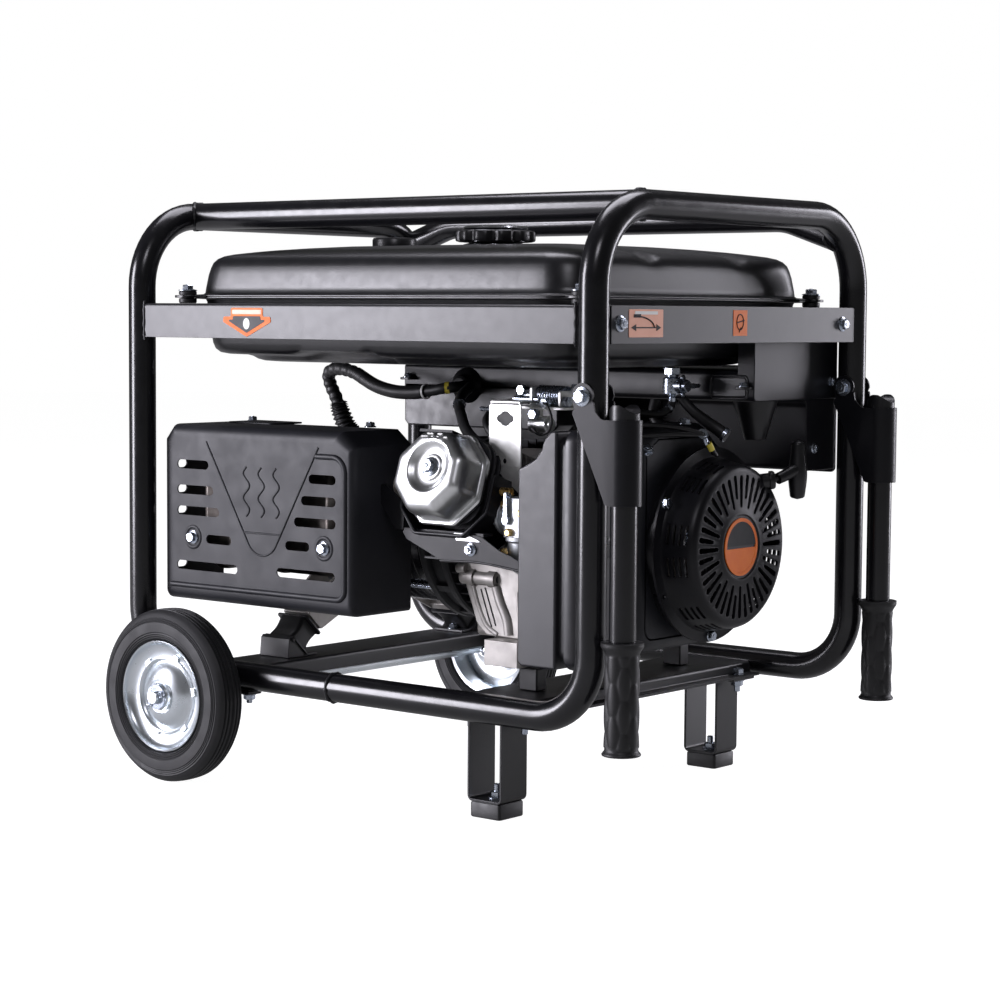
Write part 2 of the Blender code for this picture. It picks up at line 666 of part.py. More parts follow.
def control_gear():
    section = [(71, 449), (184, 449), (184, 362), (246, 362), (246, 486), (71, 486)]
    inside = [(73, 451), (186, 451), (186, 364), (260, 364), (260, 484), (73, 484)]
    box = finish("control_box", prism(section, "x", -206, 319), "black_plastic")
    join(box, block((-206, 71, 406), (40, 186, 452)))
    cut(box, prism(inside, "x", -203, 316))
    cut(box, block((-203, 74, 409), (37, 183, 460)))
    panel = finish("control_panel", block((-206, 246.3, 362), (319, 250, 486)), "frame_paint")
    bevel(panel, 2, 1)
    key = finish("key_switch", lathe([(0, 250.3), (11, 250.3), (11, 256), (0, 256)], "y",
                                     (262, 0, 440), 16), "cap_chrome", (262, 253, 440))
    join(key, block((260, 255, 429), (264, 272, 451)))
    hub = rod((255.6, 440), "x", 196, 212, 5, 12)
    toggle = finish("breaker_switch", hub, "black_plastic", (204, 255.6, 440))
    join(toggle, block((200, 255.6, 440), (208, 269, 444)))


def wiring():
    loom = [(-225, 40, 387), (-228, 28, 402), (-229, 16, 430), (-224, 8, 457), (-206, 8, 471),
            (-182, 24, 466), (-162, 44, 461), (-147, 58, 460), (-144, 68.6, 460)]
    finish("wiring_loom", tube(smooth_route(loom), 7.0, 0, 8), "black_rubber")
    lead = [(60, 30, 440), (62, -20, 446), (68, -70, 442), (80, -110, 430), (98, -130, 418),
            (118, -134, 404)]
    finish("ignition_lead", tube(smooth_route(lead), 4.0, 0, 8), "black_rubber")


def build():
    hoop("front_hoop", 1)
    hoop("rear_hoop", -1)
    top_rails()
    tank_rails()
    cross_member("front_cross_member", 112, 212, 112, 128, 14)
    cross_member("rear_cross_member", -262, -193, 112, 130, 3)
    feet()
    axle()
    wheel("near", -1)
    wheel("far", 1)
    handle("near", -POST_Y)
    handle("far", POST_Y)
    tank()
    tank_fittings()
    engine_block()
    blower_and_starter()
    rotating_parts()
    alternator()
    muffler_and_guard()
    intake()
    control_gear()
    wiring()


clear_scene()
MAT = make_materials()
build()
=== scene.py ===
"""Looks for the open-frame portable generator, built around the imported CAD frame.

Sizes are in millimetres from the middle of the frame's two end hoops, as in the CAD
part, and place() turns them into metres in the row's own frame.
"""
import math
import random

import bmesh
import bpy
from mathutils import Matrix, Vector


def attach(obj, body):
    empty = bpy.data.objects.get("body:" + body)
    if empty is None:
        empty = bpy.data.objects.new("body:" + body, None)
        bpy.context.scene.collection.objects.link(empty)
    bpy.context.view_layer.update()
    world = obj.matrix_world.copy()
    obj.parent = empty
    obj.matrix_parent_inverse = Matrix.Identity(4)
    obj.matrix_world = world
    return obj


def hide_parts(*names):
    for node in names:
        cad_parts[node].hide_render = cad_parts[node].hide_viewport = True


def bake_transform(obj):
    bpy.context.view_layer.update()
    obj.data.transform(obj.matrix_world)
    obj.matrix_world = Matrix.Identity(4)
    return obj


MM = 0.001
MIDDLE_X = 23.85
POST_X, POST_Y, TUBE_R = 338.0, 251.0, 16.0
TOP_Z, BOTTOM_Z, SEAM_X = 661.0, 126.0, -22.0
CRANK_Y, CRANK_Z = 47.0, 287.0
CYLINDER_X, CYLINDER_TILT = 86.0, math.radians(18.0)
PIVOT_Z, HANDLE_X = 463.0, 378.5
WHEEL_X, WHEEL_Y, WHEEL_R = -240.0, 295.0, 101.0
FOOT_X, FOOT_Y, HALF_STRAP = 176, 204.0, 48
CRANK = (0, CRANK_Y, CRANK_Z)
KEY = (262, 0, 440)
SHARP_ANGLE = 32.0   # degrees between two faces from which their edge stays sharp
HEX_TURN = 0.3       # radians that every bolt head is turned from straight
CAMERA_ANGLES = (39.42, 4.33, 0.40)   # azimuth, pitch and roll in degrees
CAMERA_AT, CAMERA_LENS = (1863.79, -2255.70, 546.8), 88.763
RAYS = 120           # points on each outline of the valve cover and the octagonal parts

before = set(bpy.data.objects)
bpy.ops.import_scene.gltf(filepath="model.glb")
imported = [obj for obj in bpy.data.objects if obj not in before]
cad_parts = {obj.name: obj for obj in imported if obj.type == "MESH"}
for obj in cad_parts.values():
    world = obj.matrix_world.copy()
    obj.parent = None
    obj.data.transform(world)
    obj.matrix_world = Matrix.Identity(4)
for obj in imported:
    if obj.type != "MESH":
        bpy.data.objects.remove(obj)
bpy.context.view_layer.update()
random.seed(7)


def place(p):
    return Vector(((p[0] - MIDDLE_X) * MM, p[1] * MM, p[2] * MM))


# ------------------------------------------------------------- camera, light

def camera():
    azimuth, pitch, roll = (math.radians(angle) for angle in CAMERA_ANGLES)
    ahead = Vector((-math.sin(azimuth) * math.cos(pitch), math.cos(azimuth) * math.cos(pitch),
        -math.sin(pitch)))
    level = Vector((math.cos(azimuth), math.sin(azimuth), 0.0))
    above = level.cross(ahead)
    right = math.cos(roll) * level + math.sin(roll) * above
    up = math.cos(roll) * above - math.sin(roll) * level
    data = bpy.data.cameras.new("camera")
    data.lens = CAMERA_LENS
    data.sensor_width = 36.0
    data.clip_end = 60.0
    obj = bpy.data.objects.new("camera", data)
    turn = Matrix((right, up, -ahead)).transposed().to_4x4()
    obj.matrix_world = Matrix.Translation(place(CAMERA_AT)) @ turn
    bpy.context.scene.collection.objects.link(obj)
    bpy.context.scene.camera = obj


def softbox(name, at, towards, width, height, power):
    data = bpy.data.lights.new(name, 'AREA')
    data.shape = 'RECTANGLE'
    data.size = width
    data.size_y = height
    data.energy = power
    data.color = (0.93, 0.91, 1.0)
    obj = bpy.data.objects.new(name, data)
    obj.location = at
    obj.rotation_euler = (Vector(towards) - Vector(at)).to_track_quat('-Z', 'Y').to_euler()
    bpy.context.scene.collection.objects.link(obj)


def studio():
    aim = (0.0, 0.0, 0.35)
    softbox("left_softbox", (-2.35, -2.65, 0.9), aim, 1.0, 2.0, 150)
    softbox("right_softbox", (1.5, 3.2, 0.9), aim, 0.8, 2.0, 55)
    softbox("front_softbox", (1.9, -2.5, 2.7), aim, 0.9, 0.7, 22)
    softbox("top_softbox", (-0.3, 0.5, 2.6), aim, 2.2, 1.2, 55)
    world = bpy.data.worlds.new("studio")
    world.use_nodes = True
    tree = world.node_tree
    back = tree.nodes["Background"]
    back.inputs["Color"].default_value = (1.0, 1.0, 1.0, 1.0)
    path = tree.nodes.new("ShaderNodeLightPath")
    level = tree.nodes.new("ShaderNodeMapRange")
    level.inputs["To Min"].default_value = 0.07
    level.inputs["To Max"].default_value = 1.0
    tree.links.new(path.outputs["Is Camera Ray"], level.inputs["Value"])
    tree.links.new(level.outputs["Result"], back.inputs["Strength"])
    bpy.context.scene.world = world
    bpy.context.scene.view_settings.view_transform = 'Standard'


def floor():
    bm = bmesh.new()
    bmesh.ops.create_circle(bm, cap_ends=True, segments=64, radius=14.0)
    mesh = bpy.data.meshes.new("floor")
    bm.to_mesh(mesh)
    bm.free()
    obj = bpy.data.objects.new("floor", mesh)
    bpy.context.scene.collection.objects.link(obj)
    white = surface("floor_white", (0.26, 0.26, 0.265), (0.29, 0.29, 0.295), (0.75, 0.85),
        tone=2.0, grain=(60.0, 0.02))
    tree = white.node_tree
    path = tree.nodes.new("ShaderNodeLightPath")
    glow = tree.nodes.new("ShaderNodeMapRange")
    glow.inputs["To Min"].default_value = 0.22
    glow.inputs["To Max"].default_value = 0.97
    tree.links.new(path.outputs["Is Camera Ray"], glow.inputs["Value"])
    shader = tree.nodes["Principled BSDF"]
    shader.inputs["Emission Color"].default_value = (1.0, 1.0, 1.0, 1.0)
    tree.links.new(glow.outputs["Result"], shader.inputs["Emission Strength"])
    mesh.materials.append(white)


# ----------------------------------------------------------------- materials

def surface(name, dark, light, rough, metallic=0.0, tone=30.0, grain=(700.0, 0.1), depth=0.2,
        stretch=(1.0, 1.0, 1.0), level=0.5):
    """Principled material whose colour, roughness and bump vary over the surface."""
    mat = bpy.data.materials.new(name)
    mat.use_nodes = True
    tree = mat.node_tree
    shader = tree.nodes["Principled BSDF"]
    coords = tree.nodes.new("ShaderNodeTexCoord")
    mapping = tree.nodes.new("ShaderNodeMapping")
    mapping.inputs["Scale"].default_value = stretch
    tree.links.new(coords.outputs["Object"], mapping.inputs["Vector"])

    def clouds(scale, detail):
        node = tree.nodes.new("ShaderNodeTexNoise")
        node.inputs["Scale"].default_value = scale
        node.inputs["Detail"].default_value = detail
        tree.links.new(mapping.outputs["Vector"], node.inputs["Vector"])
        return node.outputs["Fac"]

    ramp = tree.nodes.new("ShaderNodeValToRGB")
    for stop, position, tint in zip(ramp.color_ramp.elements, (0.32, 0.68), (dark, light)):
        stop.position = position
        stop.color = (*tint, 1.0)
    tree.links.new(clouds(tone, 5.0), ramp.inputs["Fac"])
    tree.links.new(ramp.outputs["Color"], shader.inputs["Base Color"])
    wear = tree.nodes.new("ShaderNodeMapRange")
    for socket, value in zip(("From Min", "From Max", "To Min", "To Max"), (0.3, 0.7, *rough)):
        wear.inputs[socket].default_value = value
    tree.links.new(clouds(tone * 2.7, 3.0), wear.inputs["Value"])
    tree.links.new(wear.outputs["Result"], shader.inputs["Roughness"])
    bump = tree.nodes.new("ShaderNodeBump")
    bump.inputs["Strength"].default_value = grain[1]
    bump.inputs["Distance"].default_value = depth * MM
    tree.links.new(clouds(grain[0], 2.0), bump.inputs["Height"])
    tree.links.new(bump.outputs["Normal"], shader.inputs["Normal"])
    shader.inputs["Metallic"].default_value = metallic
    shader.inputs["Specular IOR Level"].default_value = level
    return mat


def make_materials():
    """Every look by name: dark and light colour, roughness range, metallic, then its grain."""
    looks = {}

    def look(name, *values, **grain):
        looks[name] = surface(name, *values, **grain)

    look("frame_paint", (0.0045, 0.0045, 0.006), (0.0065, 0.0065, 0.008), (0.20, 0.26), 0.0,
        grain=(520.0, 0.1), depth=0.08)
    look("sheet_paint", (0.007, 0.007, 0.009), (0.010, 0.010, 0.012), (0.38, 0.41), 0.0,
        grain=(640.0, 0.12), depth=0.1, level=0.6)
    look("satin_paint", (0.0055, 0.0055, 0.0075), (0.008, 0.008, 0.010), (0.34, 0.38), 0.0,
        grain=(640.0, 0.12), depth=0.1, level=0.28)
    look("tank_paint", (0.005, 0.005, 0.0065), (0.0075, 0.0075, 0.009), (0.30, 0.36), 0.0,
        grain=(600.0, 0.12), depth=0.1)
    look("guard_paint", (0.011, 0.0115, 0.015), (0.015, 0.0155, 0.020), (0.46, 0.54), 0.0,
        tone=18.0, grain=(900.0, 0.2), depth=0.12, level=0.4)
    look("gloss_paint", (0.004, 0.004, 0.0055), (0.006, 0.006, 0.008), (0.14, 0.20), 0.0,
        grain=(300.0, 0.06), depth=0.06, level=0.6)
    look("zinc", (0.70, 0.75, 0.79), (0.76, 0.80, 0.83), (0.27, 0.30), 1.0, tone=24.0,
        grain=(900.0, 0.1), depth=0.03)
    look("bolt_zinc", (0.40, 0.45, 0.54), (0.58, 0.62, 0.68), (0.20, 0.30), 1.0, tone=160.0,
        grain=(900.0, 0.1), depth=0.04)
    look("white_zinc", (0.80, 0.80, 0.78), (0.92, 0.92, 0.9), (0.34, 0.46), 0.75, tone=60.0,
        grain=(500.0, 0.1), depth=0.1)
    look("polished_steel", (0.66, 0.67, 0.67), (0.72, 0.73, 0.73), (0.32, 0.36), 1.0, tone=25.0,
        grain=(1500.0, 0.04), depth=0.02, stretch=(8.0, 1.0, 1.0))
    look("cast_aluminium", (0.34, 0.325, 0.31), (0.44, 0.42, 0.40), (0.44, 0.56), 0.6, tone=45.0,
        grain=(700.0, 0.35), depth=0.12)
    look("carb_metal", (0.42, 0.44, 0.46), (0.60, 0.62, 0.64), (0.35, 0.5), 0.8, tone=80.0,
        grain=(600.0, 0.4))
    look("dark_casting", (0.012, 0.0125, 0.015), (0.022, 0.022, 0.026), (0.5, 0.62), 0.2,
        tone=40.0, grain=(420.0, 0.5), depth=0.35)
    look("brass", (0.62, 0.42, 0.16), (0.78, 0.56, 0.24), (0.22, 0.34), 1.0, tone=120.0,
        grain=(700.0, 0.2), depth=0.1)
    look("tyre_rubber", (0.008, 0.008, 0.009), (0.013, 0.013, 0.015), (0.5, 0.62), 0.0, tone=22.0,
        grain=(650.0, 0.25), depth=0.15)
    look("black_plastic", (0.005, 0.005, 0.0065), (0.008, 0.008, 0.0095), (0.30, 0.40), 0.0,
        grain=(1100.0, 0.2), depth=0.1)
    look("filter_plastic", (0.012, 0.012, 0.015), (0.017, 0.017, 0.021), (0.34, 0.42), 0.0,
        grain=(1100.0, 0.2), depth=0.1, level=0.6)
    look("black_rubber", (0.006, 0.006, 0.007), (0.010, 0.010, 0.011), (0.42, 0.54), 0.0,
        grain=(500.0, 0.2), depth=0.12)
    look("cap_chrome", (0.5, 0.51, 0.54), (0.68, 0.69, 0.72), (0.1, 0.2), 1.0, tone=70.0,
        grain=(300.0, 0.05), depth=0.1)
    look("rotor_steel", (0.14, 0.12, 0.11), (0.26, 0.24, 0.22), (0.4, 0.6), 0.9, tone=60.0,
        grain=(500.0, 0.3))
    look("weld", (0.006, 0.006, 0.008), (0.012, 0.012, 0.014), (0.3, 0.5), 0.0, tone=220.0,
        grain=(600.0, 0.5), depth=0.4)
    look("label_orange", (0.80, 0.15, 0.008), (0.86, 0.19, 0.012), (0.42, 0.5), 0.0, tone=50.0,
        grain=(300.0, 0.04), level=0.25)
    look("label_peach", (0.82, 0.36, 0.22), (0.88, 0.42, 0.28), (0.3, 0.38), 0.0, tone=50.0,
        grain=(300.0, 0.04))
    look("label_black", (0.006, 0.006, 0.007), (0.010, 0.010, 0.011), (0.4, 0.46), 0.0, tone=50.0,
        grain=(300.0, 0.04), level=0.15)
    look("label_white", (0.74, 0.74, 0.72), (0.82, 0.82, 0.8), (0.34, 0.4), 0.0, tone=50.0,
        grain=(300.0, 0.04))
    look("wire_yellow", (0.62, 0.50, 0.04), (0.72, 0.6, 0.08), (0.4, 0.5), 0.0, tone=90.0,
        grain=(300.0, 0.1))
    look("socket_blue", (0.03, 0.10, 0.34), (0.04, 0.14, 0.42), (0.35, 0.45), 0.0, tone=60.0,
        grain=(900.0, 0.2))
    look("clear_lens", (0.75, 0.78, 0.8), (0.8, 0.83, 0.85), (0.05, 0.09), 0.0, tone=20.0,
        grain=(100.0, 0.02))
    return looks


# ---------------------------------------------------------------- mesh tools

# A slot for each look; add() does not read this table.
SLOTS = {name: name for name in ("black_rubber", "black_plastic", "cast_aluminium", "guard_paint",
    "frame_paint", "tank_paint", "cap_chrome", "rotor_steel", "polished_steel", "tyre_rubber")}
SLOTS.update(bolt_zinc="zinc", sheet_paint="frame_paint", white_zinc="zinc",
    filter_plastic="black_plastic", dark_casting="guard_paint", satin_paint="guard_paint")


def add(name, bm, mat, body="frame", stands_for=(), edges=0.0, segments=2, limit=32.0,
        smooth=SHARP_ANGLE):
    """Finish a bmesh, or a list of them, in millimetres as a named piece that rides on a body."""
    if isinstance(bm, list):
        bm = merged(*bm)
    bmesh.ops.recalc_face_normals(bm, faces=bm.faces)
    for vert in bm.verts:
        vert.co = place(vert.co)
    mesh = bpy.data.meshes.new(name)
    bm.to_mesh(mesh)
    bm.free()
    obj = bpy.data.objects.new(name, mesh)
    bpy.context.scene.collection.objects.link(obj)
    mesh.materials.append(MAT[mat])
    mesh.shade_smooth()
    mesh.set_sharp_from_angle(angle=math.radians(smooth))
    if edges:
        rounding = obj.modifiers.new("edges", 'BEVEL')
        rounding.width = edges * MM
        rounding.segments = segments
        rounding.limit_method = 'ANGLE'
        rounding.angle_limit = math.radians(limit)
        rounding.harden_normals = True
    if body:
        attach(obj, body)
    if stands_for:
        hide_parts(*stands_for)
    return obj


def carve(obj, *tools, operation='DIFFERENCE'):
    """Cut solids out of a piece and keep the result as its mesh."""
    tool = add("carving_tool", merged(*tools), "zinc", body=None)
    change = obj.modifiers.new("cut", 'BOOLEAN')
    change.operation = operation
    change.object = tool
    while obj.modifiers[0] != change:
        bpy.context.view_layer.objects.active = obj
        obj.modifiers.move(len(obj.modifiers) - 1, 0)
    kept = [m for m in obj.modifiers if m != change]
    for m in kept:
        m.show_viewport = False
    bpy.context.view_layer.update()
    graph = bpy.context.evaluated_depsgraph_get()
    mesh = bpy.data.meshes.new_from_object(obj.evaluated_get(graph))
    obj.modifiers.remove(change)
    old = obj.data
    obj.data = mesh
    mesh.name = obj.name
    bpy.data.meshes.remove(old)
    for m in kept:
        m.show_viewport = True
    bpy.data.objects.remove(tool, do_unlink=True)
    mesh.shade_smooth()
    mesh.set_sharp_from_angle(angle=math.radians(SHARP_ANGLE))


def merged(*parts):
    whole = bmesh.new()
    for part in parts:
        mesh = bpy.data.meshes.new("piece")
        part.to_mesh(mesh)
        part.free()
        whole.from_mesh(mesh)
        bpy.data.meshes.remove(mesh)
    return whole


def turned(bm, matrix):
    bmesh.ops.transform(bm, matrix=matrix, verts=bm.verts)
    return bm


def to_axis(axis):
    if axis == "x":
        return Matrix(((0, 0, 1, 0), (1, 0, 0, 0), (0, 1, 0, 0), (0, 0, 0, 1)))
    if axis == "y":
        return Matrix(((0, 1, 0, 0), (0, 0, 1, 0), (1, 0, 0, 0), (0, 0, 0, 1)))
    return Matrix.Identity(4)


def aimed(at, direction):
    """Matrix that carries local +Z at the origin onto a direction at a point."""
    turn = Vector(direction).normalized().to_track_quat('Z', 'Y').to_matrix().to_4x4()
    return Matrix.Translation(Vector(at)) @ turn


def about_crank(angle):
    return Matrix.Translation(Vector(CRANK)) @ Matrix.Rotation(angle, 4, 'X')


def block(low, high):
    bm = bmesh.new()
    size = Vector(high) - Vector(low)
    middle = (Vector(high) + Vector(low)) / 2
    bmesh.ops.create_cube(bm, size=1.0, matrix=Matrix.Translation(middle) @ Matrix.Diagonal((*size,
        1.0)))
    return bm


def prism(outline, axis, low, high):
    bm = bmesh.new()
    rings = [[bm.verts.new((a, b, h)) for a, b in outline] for h in (low, high)]
    bm.faces.new(reversed(rings[0]))
    bm.faces.new(rings[1])
    for i in range(len(outline)):
        j = (i + 1) % len(outline)
        bm.faces.new((rings[0][i], rings[0][j], rings[1][j], rings[1][i]))
    return turned(bm, to_axis(axis))


def loft(rings, closed=False):
    """Skin over rings of points that all have the same number of points."""
    bm = bmesh.new()
    made = [[bm.verts.new(p) for p in ring] for ring in rings]
    pairs = list(zip(made, made[1:])) + ([(made[-1], made[0])] if closed else [])
    for a, b in pairs:
        for i in range(len(a)):
            j = (i + 1) % len(a)
            bm.faces.new((a[i], a[j], b[j], b[i]))
    if not closed:
        bm.faces.new(list(reversed(made[0])))
        bm.faces.new(made[-1])
    return bm


def turns(steps):
    """Even angles once around."""
    return [2 * math.pi * k / steps for k in range(steps)]


def circle(radius, height, steps=48):
    return [(radius * math.cos(t), radius * math.sin(t), height) for t in turns(steps)]


def lathe(profile, axis="z", centre=(0, 0, 0), steps=48):
    """Turn a closed profile of (radius, height) about an axis."""
    bm = bmesh.new()
    rings = []
    for radius, height in profile:
        if radius < 1e-6:
            rings.append([bm.verts.new((0, 0, height))] * steps)
        else:
            rings.append([bm.verts.new(p) for p in circle(radius, height, steps)])
    for k, a in enumerate(rings):
        b = rings[(k + 1) % len(rings)]
        for i in range(steps):
            j = (i + 1) % steps
            corners = list(dict.fromkeys((a[i], a[j], b[j], b[i])))
            if len(corners) > 2:
                bm.faces.new(corners)
    return turned(bm, Matrix.Translation(Vector(centre)) @ to_axis(axis))


def rod(centre, axis, low, high, radius, steps=24):
    return prism([(centre[0] + p[0], centre[1] + p[1]) for p in circle(radius, 0, steps)], axis,
        low, high)


def filleted(corners, steps=14):
    """Route through corner points (x, y, z, bend radius) with round bends."""
    route = [Vector(corners[0][:3])]
    for before, here, after in zip(corners, corners[1:], corners[2:]):
        point = Vector(here[:3])
        back = (Vector(before[:3]) - point).normalized()
        ahead = (Vector(after[:3]) - point).normalized()
        half = back.angle(ahead) / 2
        reach = here[3] / math.tan(half)
        middle = point + (back + ahead).normalized() * (here[3] / math.sin(half))
        start = point + back * reach - middle
        end = point + ahead * reach - middle
        turn = start.angle(end)
        for i in range(steps + 1):
            s = i / steps
            arm = (start * math.sin((1 - s) * turn) + end * math.sin(s * turn)) / math.sin(turn)
            route.append(middle + arm)
    route.append(Vector(corners[-1][:3]))
    return route


def smooth_route(points, per_span=6):
    pts = [Vector(p) for p in points]
    pts = [2 * pts[0] - pts[1]] + pts + [2 * pts[-1] - pts[-2]]
    route = []
    for a, b, c, d in zip(pts, pts[1:], pts[2:], pts[3:]):
        for i in range(per_span):
            t = i / per_span
            route.append(0.5 * (2 * b + (c - a) * t + (2 * a - 5 * b + 4 * c - d) * t * t + (3 * b
                - a - 3 * c + d) * t ** 3))
    route.append(pts[-2])
    return route


def sweep(route, radius, sides=24, closed=False):
    """Round bar along a route; radius is a number or a function of the point's index."""
    count = len(route)
    rings = []
    side = None
    for i, point in enumerate(route):
        if closed:
            heading = (route[(i + 1) % count] - route[i - 1]).normalized()
        else:
            heading = (route[min(i + 1, count - 1)] - route[max(i - 1, 0)]).normalized()
        side = side or heading.orthogonal()
        side = (side - heading * side.dot(heading)).normalized()
        other = heading.cross(side)
        r = radius(i) if callable(radius) else radius
        rings.append([point + r * (side * math.cos(t) + other * math.sin(t)) for t in (2 * math.pi
            * k / sides for k in range(sides))])
    if closed:
        return loft(rings, closed=True)
    return loft(rings)


def arc(centre, radius, start, end, steps=10):
    """Points on an arc; angles in degrees."""
    return [(centre[0] + radius * math.cos(math.radians(start + (end - start) * i / steps)),
        centre[1] + radius * math.sin(math.radians(start + (end - start) * i / steps))) for i in
        range(steps + 1)]


def rounded(corners, radius, steps=6):
    """Closed outline with its corners rounded; radius is one number or one per corner."""
    points = []
    count = len(corners)
    for i, here in enumerate(corners):
        r = radius[i] if isinstance(radius, (list, tuple)) else radius
        here = Vector(here)
        back = Vector(corners[i - 1]) - here
        ahead = Vector(corners[(i + 1) % count]) - here
        if r < 1.0:
            points.append(tuple(here))
            continue
        u, v = back.normalized(), ahead.normalized()
        half = u.angle(v) / 2
        reach = min(r / math.tan(half), back.length * 0.49, ahead.length * 0.49)
        r = reach * math.tan(half)
        middle = here + (u + v).normalized() * (r / math.sin(half))
        a, b = here + u * reach - middle, here + v * reach - middle
        turn = a.angle(b)
        for k in range(steps + 1):
            s = k / steps
            points.append(tuple(middle + (a * math.sin((1 - s) * turn) + b * math.sin(s * turn)) /
                math.sin(turn)))
    return points


def flipped(points):
    """(x, z) points in the (z, x) order of a prism along y."""
    return [(z, x) for x, z in points]


def rectangle(low_a, low_b, high_a, high_b, radius, steps=6):
    corners = [(low_a, low_b), (high_a, low_b), (high_a, high_b), (low_a, high_b)]
    return rounded(corners, radius, steps)


def spun(profile, at, direction, steps=48):
    """A lathed piece that stands on a point and looks along a direction."""
    return turned(lathe(profile, steps=steps), aimed(at, direction))


def pill(centre, length, width, steps=8):
    """Outline of a slot with round ends, long in its first coordinate."""
    half = (length - width) / 2
    return (arc((centre[0] + half, centre[1]), width / 2, -90, 90,
        steps) + arc((centre[0] - half, centre[1]), width / 2, 90, 270, steps))


def hexagon(across, height, turn=0.0):
    r = across / math.sqrt(3)
    return [(r * math.cos(turn + k * math.pi / 3), r * math.sin(turn + k * math.pi / 3),
        height) for k in range(6)]


def hex_block(across, height, top_across, top):
    return loft([hexagon(across, 0), hexagon(across, height), hexagon(top_across, top)])


def bolt(at, direction, across=13.0, flange=9.0, stud=0.0):
    """Flanged hex head, or a nut with its stud showing when stud is set."""
    h = across * 0.5
    parts = [lathe([(0, 0), (flange, 0), (flange, 0.9), (across * 0.5, 2.0), (0, 2.0)], steps=24),
        loft([hexagon(across, 1.5, HEX_TURN), hexagon(across, h, HEX_TURN),
        hexagon(across * 0.86, h + 0.9, HEX_TURN)])]
    if stud:
        parts.append(lathe([(0, 1), (across * 0.29, 1), (across * 0.29, h + stud - 0.8),
            (across * 0.24, h + stud), (0, h + stud)], steps=16))
    else:
        parts.append(lathe([(0, h), (across * 0.24, h), (across * 0.2, h + 1.5), (0, h + 1.5)],
            steps=16))
    return turned(merged(*parts), aimed(at, direction))


def ripple_weld(path, radius=2.4, closed=True):
    """Irregular weld bead along a path of points."""
    phase = random.uniform(0, 6)
    points = [p + Vector([random.uniform(-0.4, 0.4) for _ in range(3)]) for p in path]

    def thickness(i):
        return radius * (1.0 + 0.22 * math.sin(i * 1.25 + phase) + random.uniform(-0.12, 0.12))
    return sweep(points, thickness, 8, closed)


# --------------------------------------------------------------------- frame

def frame_tubes():
    welds = []
    for name, side in (("front_hoop", 1), ("rear_hoop", -1)):
        x = side * POST_X
        corners = [(SEAM_X, -POST_Y, BOTTOM_Z), (x, -POST_Y, BOTTOM_Z, 70.0),
            (x, -POST_Y, TOP_Z, 86.0), (x, POST_Y, TOP_Z, 86.0), (x, POST_Y, BOTTOM_Z, 70.0),
            (SEAM_X, POST_Y, BOTTOM_Z)]
        add(name + "_tube", sweep(filleted(corners), TUBE_R, 40), "frame_paint", stands_for=[name],
            smooth=50)
        near = [Vector((side * (POST_X - 15.4 * abs(math.cos(t))), -165 + 15.4 * math.cos(t),
            TOP_Z + 15.4 * math.sin(t))) for t in turns(48)]
        far = [Vector((side * (POST_X - 15.4 * abs(math.cos(t))), 225 + 15.4 * math.cos(t),
            637 + 15.4 * math.sin(t))) for t in turns(48)]
        welds += [ripple_weld(near), ripple_weld(far)]
        for y in (-262, 262):
            for z in (516, 556):
                welds.append(ripple_weld([Vector((side * 322.5, y * 0.998,
                    z + d * 1.0)) for d in range(-3, 4)], 1.6, False))
            welds.append(ripple_weld([Vector((side * 322.6, y * 0.999,
                518 + 3 * k)) for k in range(13)], 1.7, False))
    for y in (-POST_Y, POST_Y):
        welds.append(ripple_weld([Vector((SEAM_X, y + 16.1 * math.cos(t),
            BOTTOM_Z + 16.1 * math.sin(t))) for t in turns(48)], 2.0))
    add("frame_welds", welds, "weld", smooth=80)
    rail = [Vector((-POST_X + 6, -165, TOP_Z)), Vector((POST_X - 6, -165, TOP_Z))]
    add("near_top_rail_tube", sweep(rail, TUBE_R, 40), "frame_paint", stands_for=["near_top_rail"],
        smooth=50)
    bent = filleted([(-POST_X + 4, 225, 636), (-260, 225, TOP_Z, 90.0), (260, 225, TOP_Z, 90.0),
        (POST_X - 4, 225, 636)])
    add("far_top_rail_tube", sweep(bent, TUBE_R, 40), "frame_paint", stands_for=["far_top_rail"],
        smooth=50)


def frame_rails():
    for name, side in (("near_tank_rail", -1), ("far_tank_rail", 1)):
        angle = [(side * 262, 516), (side * 262, 556), (side * 232, 556), (side * 232, 553),
            (side * 259, 553), (side * 259, 516)]
        add(name + "_angle", prism(rounded(angle, [0.6, 4, 0.6, 0.6, 1.5, 0.6], 5), "x", -323,
            323), "sheet_paint", stands_for=[name], edges=0.4)
    for name, side in (("front_tank_rail", 1), ("rear_tank_rail", -1)):
        low, high = sorted((side * 346, side * 349))
        face = rectangle(-236, 516, 236, 556, 1.5, 3)
        add(name + "_flat", prism(face, "x", low, high), "sheet_paint", stands_for=[name],
            edges=0.5)
    front = [(112, 98), (112, 115), (125, 115), (125, 209), (112, 209), (112, 226), (115, 226),
        (115, 212), (128, 212), (128, 112), (115, 112), (115, 98)]
    add("front_cross_member_channel", prism(rounded(front, [0.5, 1.5, 1.5, 1.5, 1.5, 0.5, 0.5, 2,
        4, 4, 2, 0.5], 4), "y", -234, 234), "sheet_paint", stands_for=["front_cross_member"],
        edges=0.4)
    rear = [(112, -265), (130, -265), (130, -190), (112, -190), (112, -193), (127, -193),
        (127, -262), (112, -262)]
    add("rear_cross_member_channel", prism(rounded(rear, [0.5, 4, 4, 0.5, 0.5, 1.5, 1.5, 0.5], 4),
        "y", -234, 234), "sheet_paint", stands_for=["rear_cross_member"], edges=0.4)


